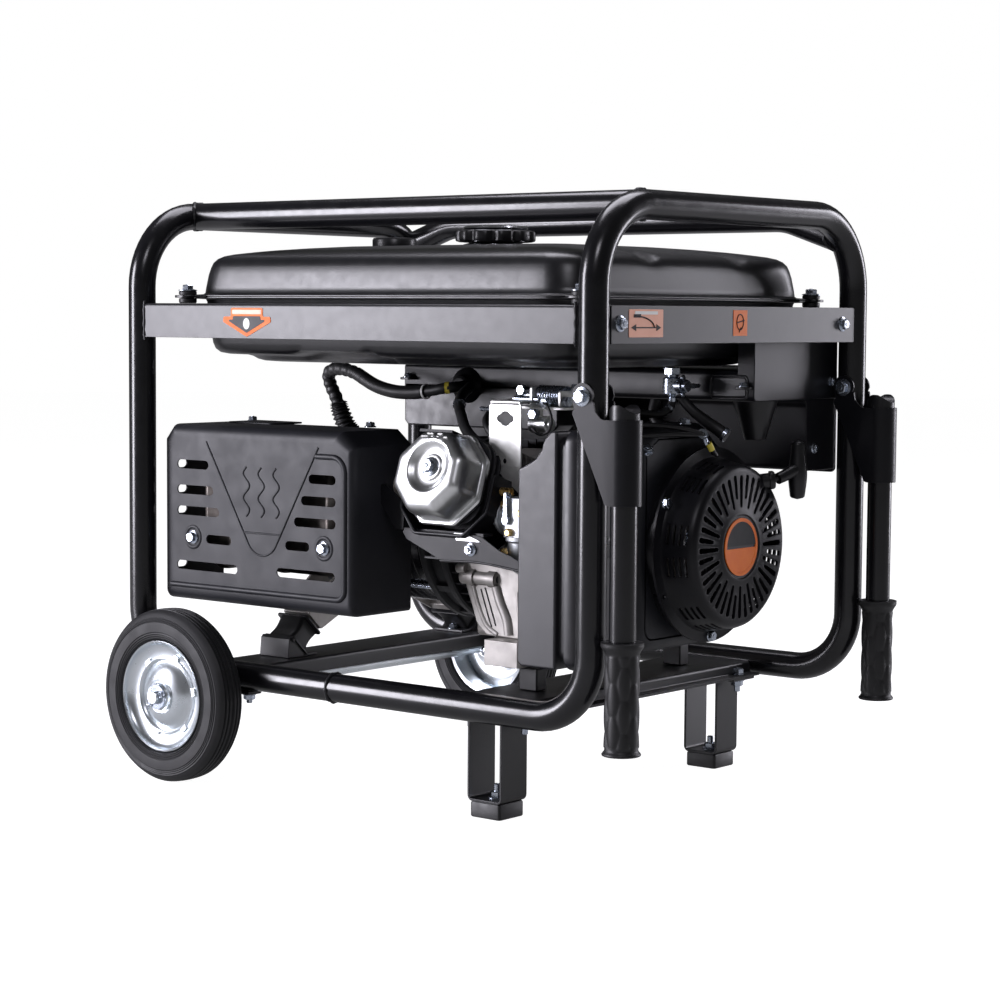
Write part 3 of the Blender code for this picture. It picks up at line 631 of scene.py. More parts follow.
def feet():
    bolts = []
    for name, y in (("near_foot", -FOOT_Y), ("far_foot", FOOT_Y)):
        top, low = 111.7, 17.3
        strap = [(-HALF_STRAP, top), (-21, top), (-21, low + 3), (21, low + 3), (21, top),
            (HALF_STRAP, top), (HALF_STRAP, top - 3), (24, top - 3), (24, low), (-24, low),
            (-24, top - 3), (-HALF_STRAP, top - 3)]
        outline = rounded([(z, FOOT_X + x) for x, z in strap],
            [0.5, 5, 3, 3, 5, 0.5, 0.5, 2, 7, 7, 2, 0.5], 5)
        add(name + "_strap_bar", prism(outline, "y", y - 22, y + 22), "sheet_paint",
            stands_for=[name + "_strap"], edges=0.6)
        pad = loft([[(FOOT_X + p[0], y + p[1], z) for p in rectangle(-h, -h, h, h, 3.0,
            4)] for h, z in ((20.0, 0.0), (21.0, 1.2), (21.0, 15.6), (20.2, 17.0))])
        add(name + "_pad_block", pad, "black_rubber", stands_for=[name + "_pad"])
        bolts.append(bolt((FOOT_X, y, 20.3), (0, 0, 1), stud=9, flange=10))
        for x in (138, 214):
            bolts += [bolt((x, y, 115), (0, 0, 1), flange=9), bolt((x, y, 108.7), (0, 0, -1),
                stud=8, flange=9)]
    for y in (-POST_Y, POST_Y):
        bolts += [bolt((-158, y, 105.5), (0, 0, -1), across=12, stud=5, flange=8.5)]
    add("foot_and_plate_bolts", bolts, "bolt_zinc")


# -------------------------------------------------------------------- wheels

def wheels():
    for side_name, out in (("near", -1), ("far", 1)):
        body = side_name + "_wheel"
        centre = (WHEEL_X, out * WHEEL_Y, WHEEL_R)
        section = [(64.0, 14), (66.5, 18.5), (68, 20.6), (69, 19.9), (70.2, 20.9), (71.4, 20.2),
            (72.6, 21.3), (73.8, 20.8), (75, 21.8), (80, 22.0), (86, 21.8), (87, 21.0), (88, 21.5),
            (89, 20.6), (90, 20.9), (91.2, 19.8), (92.4, 20.0), (95, 18.4), (97, 17.0),
            (98.6, 15.0), (99.4, 13.6)]
        tread = [(100.2, 12.6), (98.4, 11.8), (98.4, 10.6), (100.6, 9.8), (100.7, 7.4),
            (98.7, 6.6), (98.7, 5.4), (100.9, 4.6), (101.0, 2.4), (98.9, 1.4), (98.9, 0.0)]
        half = section + tread
        profile = half + [(r, -h) for r, h in reversed(half[:-1])]
        add(side_name + "_tyre_rubber", lathe(profile, "y", centre, 120), "tyre_rubber", body,
            stands_for=[side_name + "_tyre"], smooth=24)
        face = [(64.6, 19.2), (63.6, 19.8), (62.4, 19.0), (61.6, 16.0), (59, 13.0), (55, 10.6),
            (50, 9.4), (46.5, 9.2), (45.2, 11.4), (43.6, 12.0), (42.0, 11.2), (40.6, 8.8),
            (38.5, 9.6), (35, 12.8), (30, 16.0), (25, 18.2), (20.5, 19.4), (19.5, 18.4),
            (17.5, 18.2), (16.5, 19.4), (16, 22.6), (14.5, 24), (8.6, 24)]
        back = [(8.6, -21), (15, -21), (15, 14), (30, 12.6), (38, 7.0), (48, 6.0), (58, 9.0),
            (60, 12.0), (60.4, -18.0), (64.6, -19.0)]
        shape = [(r, out * h) for r, h in face + back]
        add(side_name + "_rim_disc", lathe(shape, "y", centre, 96), "zinc", body,
            stands_for=[side_name + "_rim"], smooth=35)
        tabs = []
        for k in range(6):
            turn = Matrix.Translation(Vector(centre)) @ Matrix.Rotation(k * math.pi / 3 + 0.35, 4,
                'Y')
            outline = rounded([(43, -6), (43, 6), (49.5, 4.6), (49.5, -4.6)], 1.6, 3)
            tab = prism(outline, "y", *sorted((out * 9.0, out * 11.8)))
            tabs.append(turned(tab, turn))
        add(side_name + "_rim_tabs", tabs, "zinc", body, edges=0.7)
        outer = out * (WHEEL_Y + 24.3)
        washer = [(8.3, 0.3), (14.5, 0.3), (15, 0.8), (15, 2.0), (14.5, 2.5), (8.3, 2.5)]
        add(side_name + "_axle_washer", lathe([(r, out * (h + WHEEL_Y + 24.2)) for r, h in washer],
            "y", (WHEEL_X, 0, WHEEL_R), 40), "bolt_zinc")
        legs = []
        for bend in (-1, 1):
            legs += [smooth_route([(WHEEL_X + 10 * bend, outer + out * 5, WHEEL_R + 5 * bend),
                (WHEEL_X + 4 * bend, outer + out * 5, WHEEL_R), (WHEEL_X - 6, outer + out * 5.2,
                WHEEL_R - 8), (WHEEL_X - 12, outer + out * 5.5, WHEEL_R - 13 - 3 * bend)], 4)]
        ring = [Vector((WHEEL_X + 10.2 + 2.6 * math.cos(t), outer + out * 5,
            WHEEL_R + 4 + 3.2 * math.sin(t))) for t in turns(16)]
        pins = [sweep(route, 0.9, 8) for route in legs] + [sweep(ring, 0.9, 8, True)]
        add(side_name + "_cotter_pin", pins, "bolt_zinc", smooth=60)
    add("axle_bar", lathe([(0, -328), (7.2, -328), (8, -327), (8, 327), (7.2, 328), (0, 328)], "y",
        (WHEEL_X, 0, WHEEL_R), 32), "zinc", stands_for=["wheel_axle"])
    plates = []
    for y in (-POST_Y, POST_Y):
        plate = rectangle(-262, y - 11, -147, y + 11, 4, 4)
        plates.append(prism(plate, "z", 105.6, 109.6))
    add("axle_plates", plates, "frame_paint", edges=0.6)


# ------------------------------------------------------------ folding handles

def handles():
    for side_name, y in (("near", -POST_Y), ("far", POST_Y)):
        body = side_name + "_handle"
        inner, outer = TUBE_R + 0.3, TUBE_R + 2.3
        left, low = POST_X - 14.0, PIVOT_Z - 110.0
        section = ([(left, -outer), (HANDLE_X, -outer)] + arc((HANDLE_X, 0), outer, -80, 80,
            20) + [(HANDLE_X, outer), (left, outer), (left, inner),
            (HANDLE_X, inner)] + arc((HANDLE_X, 0), inner, 80, -80, 20) + [(HANDLE_X, -inner),
            (left, -inner)])
        sheet = prism([(x, y + dy) for x, dy in section], "z", low, PIVOT_Z + 15.0)
        obj = add(side_name + "_bracket_sheet", sheet, "satin_paint", body,
            stands_for=[side_name + "_handle_bracket"], edges=0.5, limit=40)
        right = HANDLE_X + outer + 2.0 - POST_X
        view = (arc((0, 0), 14.0, 180, 0, 16) + rounded([(14, -4), (15.5, -14), (24.5, -23),
            (right, -23), (right, -110), (30, -110), (27, -103), (-14, -15)],
            [2, 8, 8, 0, 0, 6, 10, 4], 6))
        shape = [(PIVOT_Z + dz, POST_X + dx) for dx, dz in view]
        carve(obj, prism(shape, "y", y - 30, y + 30), operation='INTERSECT')
        pipe = lathe([(0, 105), (14, 105), (14, 431), (0, 431)], "z", (HANDLE_X, y, 0), 40)
        add(side_name + "_handle_pipe", pipe, "frame_paint", body,
            stands_for=[side_name + "_handle_tube"])
        cap = lathe([(14.6, 357), (15.7, 357.4), (15.7, 452), (15.2, 455), (14, 456), (0, 456),
            (0, 431.4), (14.6, 431.4)], "z", (HANDLE_X, y, 0), 40)
        cap = add(side_name + "_handle_stop", cap, "black_plastic", body,
            stands_for=[side_name + "_handle_cap"], smooth=40)
        carve(cap, rod((y, PIVOT_Z), "x", HANDLE_X - 30, HANDLE_X + 30, TUBE_R + 0.6, 48))
        add(side_name + "_handle_rubber", grip(y), "black_rubber", body,
            stands_for=[side_name + "_handle_grip"], smooth=60)
        head = [bolt((POST_X, y - outer, PIVOT_Z), (0, -1, 0), 13, 10),
            bolt((POST_X, y + outer, PIVOT_Z), (0, 1, 0), 13, 10, stud=4)]
        add(side_name + "_pivot_bolt", head, "bolt_zinc")


def grip(y):
    """Hand grip with flared ends and staggered oval pads."""
    def base(z):
        if z < 104:
            return 17.4 + 3.1 * math.exp(-((z - 98.5) / 2.6) ** 2)
        if z > 198:
            return 17.6 + 4.6 * max(0.0, min(1.0, (z - 200) / 9.0)) ** 1.5
        return 17.5

    def ring_at(r, z):
        return [(HANDLE_X + r * math.cos(t), y + r * math.sin(t), z) for t in turns(72)]
    rings = [ring_at(r, 97.0) for r in (12.0, 19.2)]
    levels = 78
    for i in range(levels + 1):
        z = 97.4 + (213.0 - 97.4) * i / levels
        ring = []
        for k in range(72):
            t = 2 * math.pi * k / 72
            r = base(z)
            if 105 < z < 200:
                column = round(t / (math.pi / 4))
                across = (t - column * math.pi / 4) / 0.40
                row = (z - 105) / 34.0 + (0.5 if column % 2 else 0.0)
                along = (row - math.floor(row) - 0.5) / 0.52
                r += 1.5 * math.sqrt(max(0.0, 1 - across * across - along * along)) - 0.6
            ring.append((HANDLE_X + r * math.cos(t), y + r * math.sin(t), z))
        rings.append(ring)
    rings += [ring_at(r, z) for r, z in ((22.4, 213.6), (21.4, 214.0), (14.3, 214.0),
        (14.3, 205.0))]
    return loft(rings)


# ---------------------------------------------------------------------- tank

def tank_ring(inset, z, corner):
    hx, hy = 290.0 - inset, 225.0 - inset
    points = []
    for quarter, (sx, sy) in enumerate(((1, 1), (-1, 1), (-1, -1), (1, -1))):
        for i in range(9):
            t = math.pi / 2 * (quarter + i / 8)
            points.append((sx * (hx - corner) + corner * math.cos(t),
                sy * (hy - corner) + corner * math.sin(t)))
        nxt = ((-1, 1), (-1, -1), (1, -1), (1, 1))[quarter]
        t = math.pi / 2 * (quarter + 1)
        a = Vector(points[-1])
        b = Vector((nxt[0] * (hx - corner) + corner * math.cos(t),
            nxt[1] * (hy - corner) + corner * math.sin(t)))
        points += [tuple(a.lerp(b, k / 30)) for k in range(1, 30)]
    return [(5.0 + x, y, z) for x, y in points]


def tank():
    upper = [(-8, 564.3, 45), (-8.3, 565.3, 45), (-7.6, 566.4, 45), (-1, 567, 45),
        (0.5, 568.5, 45), (1.5, 575, 44), (4, 590, 43), (6.2, 598, 42), (8.5, 604, 41),
        (12.5, 608.6, 40), (18, 611.8, 39), (26, 614, 38), (36, 615.6, 36), (48, 617.4, 34),
        (62, 619.2, 32), (90, 622, 30), (125, 624.6, 28), (165, 626, 20), (200, 626.4, 12)]
    rings = []
    for inset, z, corner in upper:
        ring = []
        for x, y, height in tank_ring(inset, z, corner):
            for cy in (-82.0, 92.0):
                for end in (1, -1):
                    reach = ((x - 5) * end - 262) / 26.0
                    dip = math.exp(-((y - cy) / 11.0) ** 2) * math.exp(-reach * reach)
                    height -= 8.0 * dip * max(0.0, min(1.0, (z - 596) / 12.0))
            ring.append((x, y, height))
        rings.append(ring)
    add("tank_upper_pressing", loft(rings), "tank_paint", stands_for=["tank_upper"], smooth=60)
    lower = [(-8, 563.7, 45), (-8.3, 562.8, 45), (-7.6, 561.6, 45), (1, 561, 45), (2, 558, 45),
        (5, 530, 44), (7.5, 510, 43), (10, 503, 42), (14.5, 498.6, 41), (22, 496.8, 40),
        (38, 496, 38), (43, 494.4, 36), (48, 491, 34), (54, 489, 32), (66, 488, 30),
        (150, 487.6, 24)]
    rings = [[(x, y, z + (5.5 * max(0.0, min(1.0,
        (x + 130) / 26)) * (1 if inset < 60 else 0) if inset > 12 and y < 0 and x < 0 else 0.0))
        for x, y, z in tank_ring(inset, z, corner)] for inset, z, corner in lower]
    add("tank_lower_pressing", loft(list(reversed(rings))), "tank_paint",
        stands_for=["tank_lower"], smooth=60)
    ears, bushes, bolts = [], [], []
    for x, y, sx, sy in ((-271, -222, -1, -1), (-291, 222, -1, 1), (313, -222, 1, -1),
            (287, 222, 1, 1)):
        ear = rectangle(x - 12, y + sy * 20 - 12, x + 12, y + sy * 20 + 12, 8, 5)
        ears.append(prism(ear, "z", 562.5, 565.5))
        ears.append(prism([(x - sx * 24, y - sy * 6), (x - sx * 24, y + sy * 14),
            (x - sx * 4, y + sy * 22), (x + sx * 6, y + sy * 14), (x + sx * 2, y - sy * 4)], "z",
            562.6, 565.4))
        at = (x, y + sy * 18)
        bushes.append(lathe([(0, 556.2), (9.5, 556.2), (10.5, 557.5), (10.5, 561.5), (8, 562.3),
            (8, 565.6), (10.5, 566.2), (10.5, 569.5), (9.5, 570.8), (0, 570.8)], "z",
            (at[0], at[1], 0), 28))
        bolts.append(bolt((at[0], at[1], 570.8), (0, 0, 1), 12, 11))
    add("tank_ears", ears, "tank_paint", edges=0.6)
    add("tank_bushes", bushes, "black_rubber")
    add("tank_bolts", bolts, "bolt_zinc")
    add("filler_neck", lathe([(31, 622), (40, 622), (38, 627.5), (31, 629.4), (29.5, 629.4),
        (29.5, 622)], "z", (0, 0, 0), 48), "cap_chrome")


def scallop(radius, height, lobes, depth):
    ring = []
    for k in range(160):
        t = 2 * math.pi * k / 160
        r = radius - depth * (0.5 - 0.5 * math.cos(lobes * t)) ** 3
        ring.append((r * math.cos(t), r * math.sin(t), height))
    return ring


def tank_fittings():
    skirt = loft([scallop(43, 630.3, 10, 2), scallop(46.6, 631.4, 10, 5),
        scallop(47.4, 633, 10, 6), scallop(47.4, 641, 10, 6), scallop(46.4, 643, 10, 5.4),
        scallop(42, 644.2, 10, 3), scallop(38, 643.8, 10, 0), scallop(20, 643.8, 10, 0)])
    add("filler_cap_body", skirt, "black_plastic", "filler_cap",
        stands_for=["fuel_cap"], smooth=40)
    top = [(0, 643.6), (33, 643.6), (36.5, 644.4), (38.5, 646.6), (37, 648.6), (32, 649.6),
        (26, 649.2), (22, 648), (0, 648)]
    add("filler_cap_top", lathe(top, "z", (0, 0, 0), 72), "cap_chrome", "filler_cap", smooth=40)
    bar = prism(rectangle(-22, -5.5, 22, 5.5, 5, 5), "z", 647.5, 650)
    add("filler_cap_bar", bar, "cap_chrome", "filler_cap", edges=0.8)
    rim = [(0, 624), (25, 624), (27, 626), (27, 635), (25.6, 637.2), (23, 637.6), (22, 636),
        (22, 632.4), (0, 632.4)]
    add("fuel_gauge_case", lathe(rim, "z", (-160, 0, 0), 64), "black_plastic",
        stands_for=["fuel_gauge"], smooth=40)
    add("fuel_gauge_dial", lathe([(0, 632.6), (21, 632.6), (21, 633.4), (0, 633.4)], "z",
        (-160, 0, 0), 48), "label_white")
    marks = []
    for k in range(9):
        turn = Matrix.Translation((-160, 0, 633.5)) @ Matrix.Rotation(math.radians(k * 30 - 120),
            4, 'Z')
        length = 5 if k % 2 == 0 else 3
        marks.append(turned(block((-0.6, 18 - length, 0), (0.6, 18, 0.3)), turn))
    needle = Matrix.Translation((-160, 0, 633.9)) @ Matrix.Rotation(0.5, 4, 'Z')
    add("fuel_gauge_marks", marks, "label_black")
    add("fuel_gauge_needle", turned(prism([(-1.4, -4), (1.4, -4), (0.4, 16), (-0.4, 16)], "z", 0,
        0.5), needle), "label_orange")
    tap_x, tap_y = 232.0, 37.0
    body = merged(lathe([(0, 448), (4.6, 448), (5, 452), (4, 454), (6, 456), (11, 457.5),
        (11.5, 466), (11, 474), (7, 476.5), (7, 480), (0, 480)], "z", (tap_x, tap_y, 0), 36),
        turned(loft([hexagon(15, 478.5), hexagon(17, 479.2), hexagon(17, 486),
        hexagon(15, 486.8)]), Matrix.Translation((tap_x, tap_y, 0))),
        rod((tap_y, 466), "x", tap_x, tap_x + 15.5, 9, 32))
    add("fuel_tap_casting", body, "bolt_zinc", stands_for=["fuel_tap"])
    plate = rounded([(tap_y, 452), (tap_y + 11, 466), (tap_y, 480), (tap_y - 11, 466)], 8, 6)
    add("fuel_tap_plate", prism(plate, "x", tap_x + 12.5, tap_x + 14.2), "bolt_zinc", edges=0.4)
    screws = [spun([(0, 0), (3.4, 0), (3.4, 1), (2.6, 2), (0, 2.2)], (tap_x + 14.2, tap_y, z),
        (1, 0, 0), 20) for z in (456.5, 475.5)]
    add("fuel_tap_screws", screws, "bolt_zinc")
    lever = merged(rod((tap_y, 466), "x", tap_x + 16.3, tap_x + 21.5, 7, 32),
        prism(rounded([(tap_y - 5, 462.4), (tap_y + 20, 463.6), (tap_y + 26, 464),
        (tap_y + 26, 468), (tap_y + 20, 468.4), (tap_y - 5, 469.6)], 1.5, 4), "x", tap_x + 18,
        tap_x + 21))
    add("fuel_tap_handle", lever, "bolt_zinc", "tap_lever", stands_for=["fuel_tap_lever"],
        edges=0.5)


# -------------------------------------------------------------------- engine

def cylinder_frame():
    """Frame whose Z runs out along the cylinder and whose Y points up across it."""
    out = Vector((0, -math.cos(CYLINDER_TILT), math.sin(CYLINDER_TILT)))
    across = Vector((1, 0, 0))
    up = out.cross(across)
    turn = Matrix((across, up, out)).transposed().to_4x4()
    return Matrix.Translation((CYLINDER_X, CRANK_Y, CRANK_Z)) @ turn


def ray_outline(corners, radius):
    """Rounded outline resampled at even angles, so that different outlines can be lofted."""
    outline = [Vector(p) for p in rounded(corners, radius, 8)]
    points = []
    for k in range(RAYS):
        t = 2 * math.pi * k / RAYS
        ray = Vector((math.cos(t), math.sin(t)))
        best = 0.0
        for a, b in zip(outline, outline[1:] + outline[:1]):
            edge = b - a
            cross = ray.x * edge.y - ray.y * edge.x
            if abs(cross) < 1e-9:
                continue
            along = (a.x * edge.y - a.y * edge.x) / cross
            part = (a.x * ray.y - a.y * ray.x) / cross
            if along > best and -1e-6 <= part <= 1 + 1e-6:
                best = along
        points.append(ray * best)
    return points


def octagon(half_x, half_y, chop):
    return [(half_x, -half_y + chop), (half_x, half_y - chop), (half_x - chop, half_y),
        (-half_x + chop, half_y), (-half_x, half_y - chop), (-half_x, -half_y + chop),
        (-half_x + chop, -half_y), (half_x - chop, -half_y)]


DISH_X, DISH_Y = 3.0, 5.0


def valve_cover():
    levels = [(53, 51, 29, 10, 240.6), (54, 52, 29, 10, 241.6), (54, 52, 29, 10, 245.2),
        (52.8, 50.8, 29, 10, 246.8), (50.6, 48.8, 28.8, 10, 247.2), (49.4, 47.6, 28.6, 10, 248.2),
        (49.0, 47.2, 28.4, 10, 251), (48.8, 47, 28.2, 10, 258), (48.4, 46.6, 28, 10, 266),
        (47.8, 46, 27.8, 10, 272), (46.4, 44.6, 27.2, 10, 276.6), (44.0, 42.2, 26.2, 10, 280.4),
        (41.0, 39.2, 25, 10, 282.8), (37.6, 36.4, 23.6, 9, 283.9)]
    rings = [[(p.x, p.y, w) for p in ray_outline(octagon(a, b, c), r)] for a, b, c, r, w in levels]
    inner = [(31.0, 284.2), (29.2, 284.0), (27.8, 283.2), (25.6, 281.0), (22.8, 278.8),
        (19.5, 277.6), (16.0, 277.4), (14.6, 278.2), (13.6, 279.4), (12.6, 279.6), (0.8, 279.6)]
    rings += [[(x + DISH_X, y + DISH_Y, w) for x, y, w in circle(r, w, RAYS)] for r, w in inner]
    local = cylinder_frame()
    add("valve_cover_pressing", turned(loft(rings), local), "polished_steel",
        stands_for=["valve_cover"], smooth=30)
    dashes = []
    for u, v, length in ((-12, 38.6, 10), (-1, 38.6, 3), (7, 38.6, 3), (18, 38.2, 5),
            (-6, 42.4, 9), (8, 42.4, 7)):
        mark = prism(pill((u, v), length, 1.6, 4), "z", 279.6, 283.2 if v < 40 else 281.6)
        dashes.append(turned(mark, local))
    add("valve_cover_marks", dashes, "label_white")
    head = merged(lathe([(0, 279.4), (11.2, 279.4), (11.2, 280.6), (8.4, 282), (0, 282)],
        steps=40), loft([hexagon(13, 281, 0.3), hexagon(13, 286, 0.3), hexagon(11.6, 287.2, 0.3)]),
        lathe([(0, 286), (3, 286), (2.6, 288), (0, 288.6)], steps=24))
    add("valve_cover_bolt", turned(turned(head, Matrix.Translation((DISH_X, DISH_Y, 0))), local),
        "bolt_zinc", smooth=30)
    gasket = prism(rounded(octagon(53, 51, 29), 9, 6), "z", 238.6, 240.8)
    add("valve_cover_gasket", turned(gasket, local), "black_rubber")


def engine_block():
    section = [(-62, 172), (150, 172), (162, 190), (160, 320), (120, 380), (20, 388), (-40, 360),
        (-62, 330)]
    near = [(306, 58), (252, 62), (236, 66), (214, 75), (197, 81), (184, 96), (182, 187),
        (330, 187), (330, 58)]
    case = merged(prism(rounded(section, [6, 12, 14, 30, 24, 20, 24, 6], 6), "x", 27, 187),
        prism(rounded(near, [2, 8, 12, 12, 8, 8, 6, 4, 4], 5), "y", -128, -60))
    add("crankcase_casting", case, "cast_aluminium", stands_for=["crankcase"], edges=3.0)
    local = cylinder_frame()
    parts = [turned(prism(rectangle(-46, -46, 46, 46, 10, 5), "z", 60, 177), local)]
    for w in range(86, 176, 11):
        parts.append(turned(prism(rectangle(-52, -52, 52, 52, 12, 5), "z", w, w + 4.2), local))
    add("cylinder_fins", parts, "cast_aluminium", edges=0.7)
    details = [block((112, y - 19, 154), (160, y + 19, 183)) for y in (-132, 142)]
    add("crankcase_feet", details, "cast_aluminium", edges=1.0)
    mounts = [block((150, y - 4, 128.4), (176, y + 14, 154)) for y in (-132, 142)]
    add("engine_mounts", mounts, "black_rubber", edges=2.0)
    boss_y, boss_z = -126.0, 248.0
    ribs = [rod((boss_y, boss_z), "x", 60, 112, 8, 32), rod((boss_y, boss_z), "x", 74, 80, 10, 32),
        rod((boss_y, boss_z), "x", 100, 111, 9.6, 32), spun([(0, 0), (5.6, 0), (5.6, 12),
        (4.6, 13), (0, 13)], (68, -130, 258), (-1, 0, 0), 24)]
    for route, radius in (([(110, 240), (116, 224), (126, 204), (129, 187)], 7.0),
            ([(76, 240), (84, 218), (96, 196), (112, 186)], 4.0), ([(140, 236), (142, 214),
            (148, 196), (160, 187)], 3.0)):
        ribs.append(sweep(smooth_route([(x, -125.6, z) for x, z in route], 6), radius, 16))
    add("crankcase_ribs", ribs, "cast_aluminium", smooth=50)
    seams = [sweep(smooth_route([(x, -128.2, z) for x, z in route], 6), 0.8,
        8) for route in ([(94, 238), (101, 220), (110, 196)], [(88, 236), (96, 214), (104, 194)])]
    seams.append(spun([(0, 0), (4.6, 0), (4.6, 0.8), (0, 0.8)], (112, boss_y, boss_z), (1, 0, 0),
        24))
    add("crankcase_seams", seams, "dark_casting")
    add("crankcase_bolt", bolt((112, -142, 169), (-1, 0, 0), 12, 9, stud=4), "bolt_zinc")


def cylinder_head():
    local = cylinder_frame()
    parts = [turned(prism(rectangle(-42, -42, 42, 42, 14, 5), "z", 176.3, 238.4), local)]
    for w in range(181, 236, 9):
        parts.append(turned(prism(rectangle(-50, -48, 50, 48, 24, 5), "z", w, w + 3.6), local))
    add("cylinder_head_fins", parts, "dark_casting",
        stands_for=["cylinder_head"], edges=0.6)


def shroud():
    local = cylinder_frame()
    wall = [(-64, 34), (-64, -34), (-36, -63), (36, -63), (64, -34), (64, 10), (61, 10),
        (61, -32.6), (34.6, -60), (-34.6, -60), (-61, -32.6), (-61, 34)]
    obj = add("shroud_sheet", turned(prism(rounded(wall, [0.5, 6, 8, 8, 6, 0.5, 0.5, 4, 5, 5, 4,
        0.5], 4), "z", 178, 239), local), "satin_paint", stands_for=["cooling_shroud"], edges=0.8)
    carve(obj, rod((-150, 350), "x", 0, 60, 18, 32), rod((-157, 322), "x", 138, 170, 18, 32))
    hood = prism([(-56, 54), (-8, 54), (-8, 57), (-56, 57)], "z", 196, 244)
    rim = sweep(filleted([(-62.6, 36, 240), (-62.6, -33.4, 240, 8), (-35.4, -61.6, 240, 8),
        (35.4, -61.6, 240, 8), (62.6, -33.4, 240, 8), (62.6, 8, 240)], 6), 2.0, 12)
    folds = [turned(merged(hood, rim), local)]
    apron = [(26, 304), (34, 294), (84.5, 273.5), (140, 275), (206, 269), (206, 276), (168, 289),
        (144, 302), (120, 306)]
    wing = [(-22, 349), (-4, 354), (27, 334), (25, 303), (12, 304)]
    for outline, near_y in ((apron, -194.0), (wing, -190.0)):
        folds.append(prism(flipped(rounded(outline, 2.5, 4)), "y", near_y, near_y + 2.0))
    folds.append(sweep(smooth_route([(84, -193.4, 272.6), (140, -193.4, 274.2),
        (206, -193.4, 268.2)], 8), 1.5, 10))
    folds.append(prism([(-193, 274), (-193, 276), (-130, 282), (-130, 280)], "x", 60, 206))
    folds.append(prism([(-192, 302), (-192, 306), (-176, 306), (-176, 302)], "x", 28, 144))
    add("shroud_folds", folds, "satin_paint", smooth=40)
    # Bright polished steel strips laid along the apron's top edge as a painted highlight line; the
    # real edge is painted sheet.
    strips = [prism([(299.6, 53), (303.6, 53), (303.6, 87), (299.6, 87)], "y", -195.2, -193.8),
        prism([(297, 108), (305, 104), (305, 120), (297, 142)], "y", -195.0, -193.8)]
    add("shroud_edge_highlight_strips", strips, "polished_steel")
    add("shroud_bolt", bolt((128, -194, 288), (0, -1, 0), 10, 7.5, stud=3), "bolt_zinc")


def control_bracket():
    face = rounded([(118, 384), (118, 448), (163, 449), (163, 378), (126, 378)], [6, 5, 5, 1, 5],
        5)
    face = flipped(face)
    plate = add("bracket_plate", prism(face, "y", -151.6, -149.6), "white_zinc", edges=0.6)
    carve(plate, prism([(431 + b, 141 + a) for a, b in pill((0, 0), 24, 9, 6)], "y", -160, -140),
        rod((384, 140), "y", -160, -140, 3.0, 20))
    carve(plate, rod((431, 141), "y", -160, -140, 8.4, 32))
    tail = prism(flipped(rounded([(122, 378), (163, 378), (172, 350), (166, 344)], [1, 1, 4, 4],
        4)), "y", -150.4, -148.4)
    fold = prism(rounded([(-151.6, 446), (-151.6, 451), (-112, 451), (-112, 449), (-148, 449),
        (-149.6, 446)], [0.3, 2, 0.5, 0.5, 1, 0.3], 3), "x", 120, 161)
    strut = prism(rounded([(-150, 446), (-112, 449), (-112, 420), (-116, 420), (-118, 444)], 1, 3),
        "x", 161, 163)
    add("bracket_folds", merged(tail, fold, strut), "white_zinc", edges=0.5)
    base = merged(prism(rectangle(122, -122, 200, -84, 4, 4), "z", 441, 444),
        prism(rounded([(-120, 444), (-120, 466), (-88, 466), (-88, 444)], 3, 4), "x", 150, 153),
        prism(rounded([(-120, 444), (-120, 462), (-88, 462), (-88, 444)], 3, 4), "x", 190, 193))
    add("solenoid_cradle", base, "white_zinc", edges=0.5)
    add("solenoid_core", merged(lathe([(0, 128), (3, 128), (3, 150), (0, 150)], "x",
        (0, -104, 456), 24), lathe([(0, 152), (10, 152), (11, 154), (11, 158), (9, 160), (9, 184),
        (11, 186), (11, 190), (0, 190)], "x", (0, -104, 456), 36)), "bolt_zinc")
    coil = [Vector((152 + i * 0.42, -104 + 10.6 * math.cos(i * 0.785),
        456 + 10.6 * math.sin(i * 0.785))) for i in range(80)]
    add("solenoid_spring", sweep(coil, 1.2, 8), "bolt_zinc", smooth=60)
    nuts = [turned(hex_block(11, 6, 9.4, 7), aimed(p, d)) for p, d in (((128, -104, 456),
        (-1, 0, 0)), ((193, -112, 450), (1, 0, 0)), ((193, -96, 464), (1, 0, 0)),
        ((140, -118, 462), (0, -1, 0)), ((176, -122, 448), (0, -1, 0)),
        ((160, -122, 436), (0, -1, 0)))]
    add("bracket_nuts", nuts, "bolt_zinc")
    loop = smooth_route([(170, -124, 450), (184, -132, 446), (192, -134, 432), (186, -132, 418),
        (172, -130, 414), (160, -128, 420)], 5)
    rods = [sweep([Vector((90, -132, 440)), Vector((122, -146, 440))], 2.6, 12),
        sweep([Vector((124, -116, 452)), Vector((160, -116, 452))], 2.4, 12)]
    add("throttle_rods", rods, "bolt_zinc")
    add("throttle_wire", sweep(loop, 1.7, 10), "black_rubber", smooth=60)
    relay = [rod((-112, 424), "x", 148, 172, 9.5, 28), rod((-112, 424), "x", 172, 176, 6.5, 28)]
    add("governor_spring_seat", relay, "polished_steel", edges=0.6)


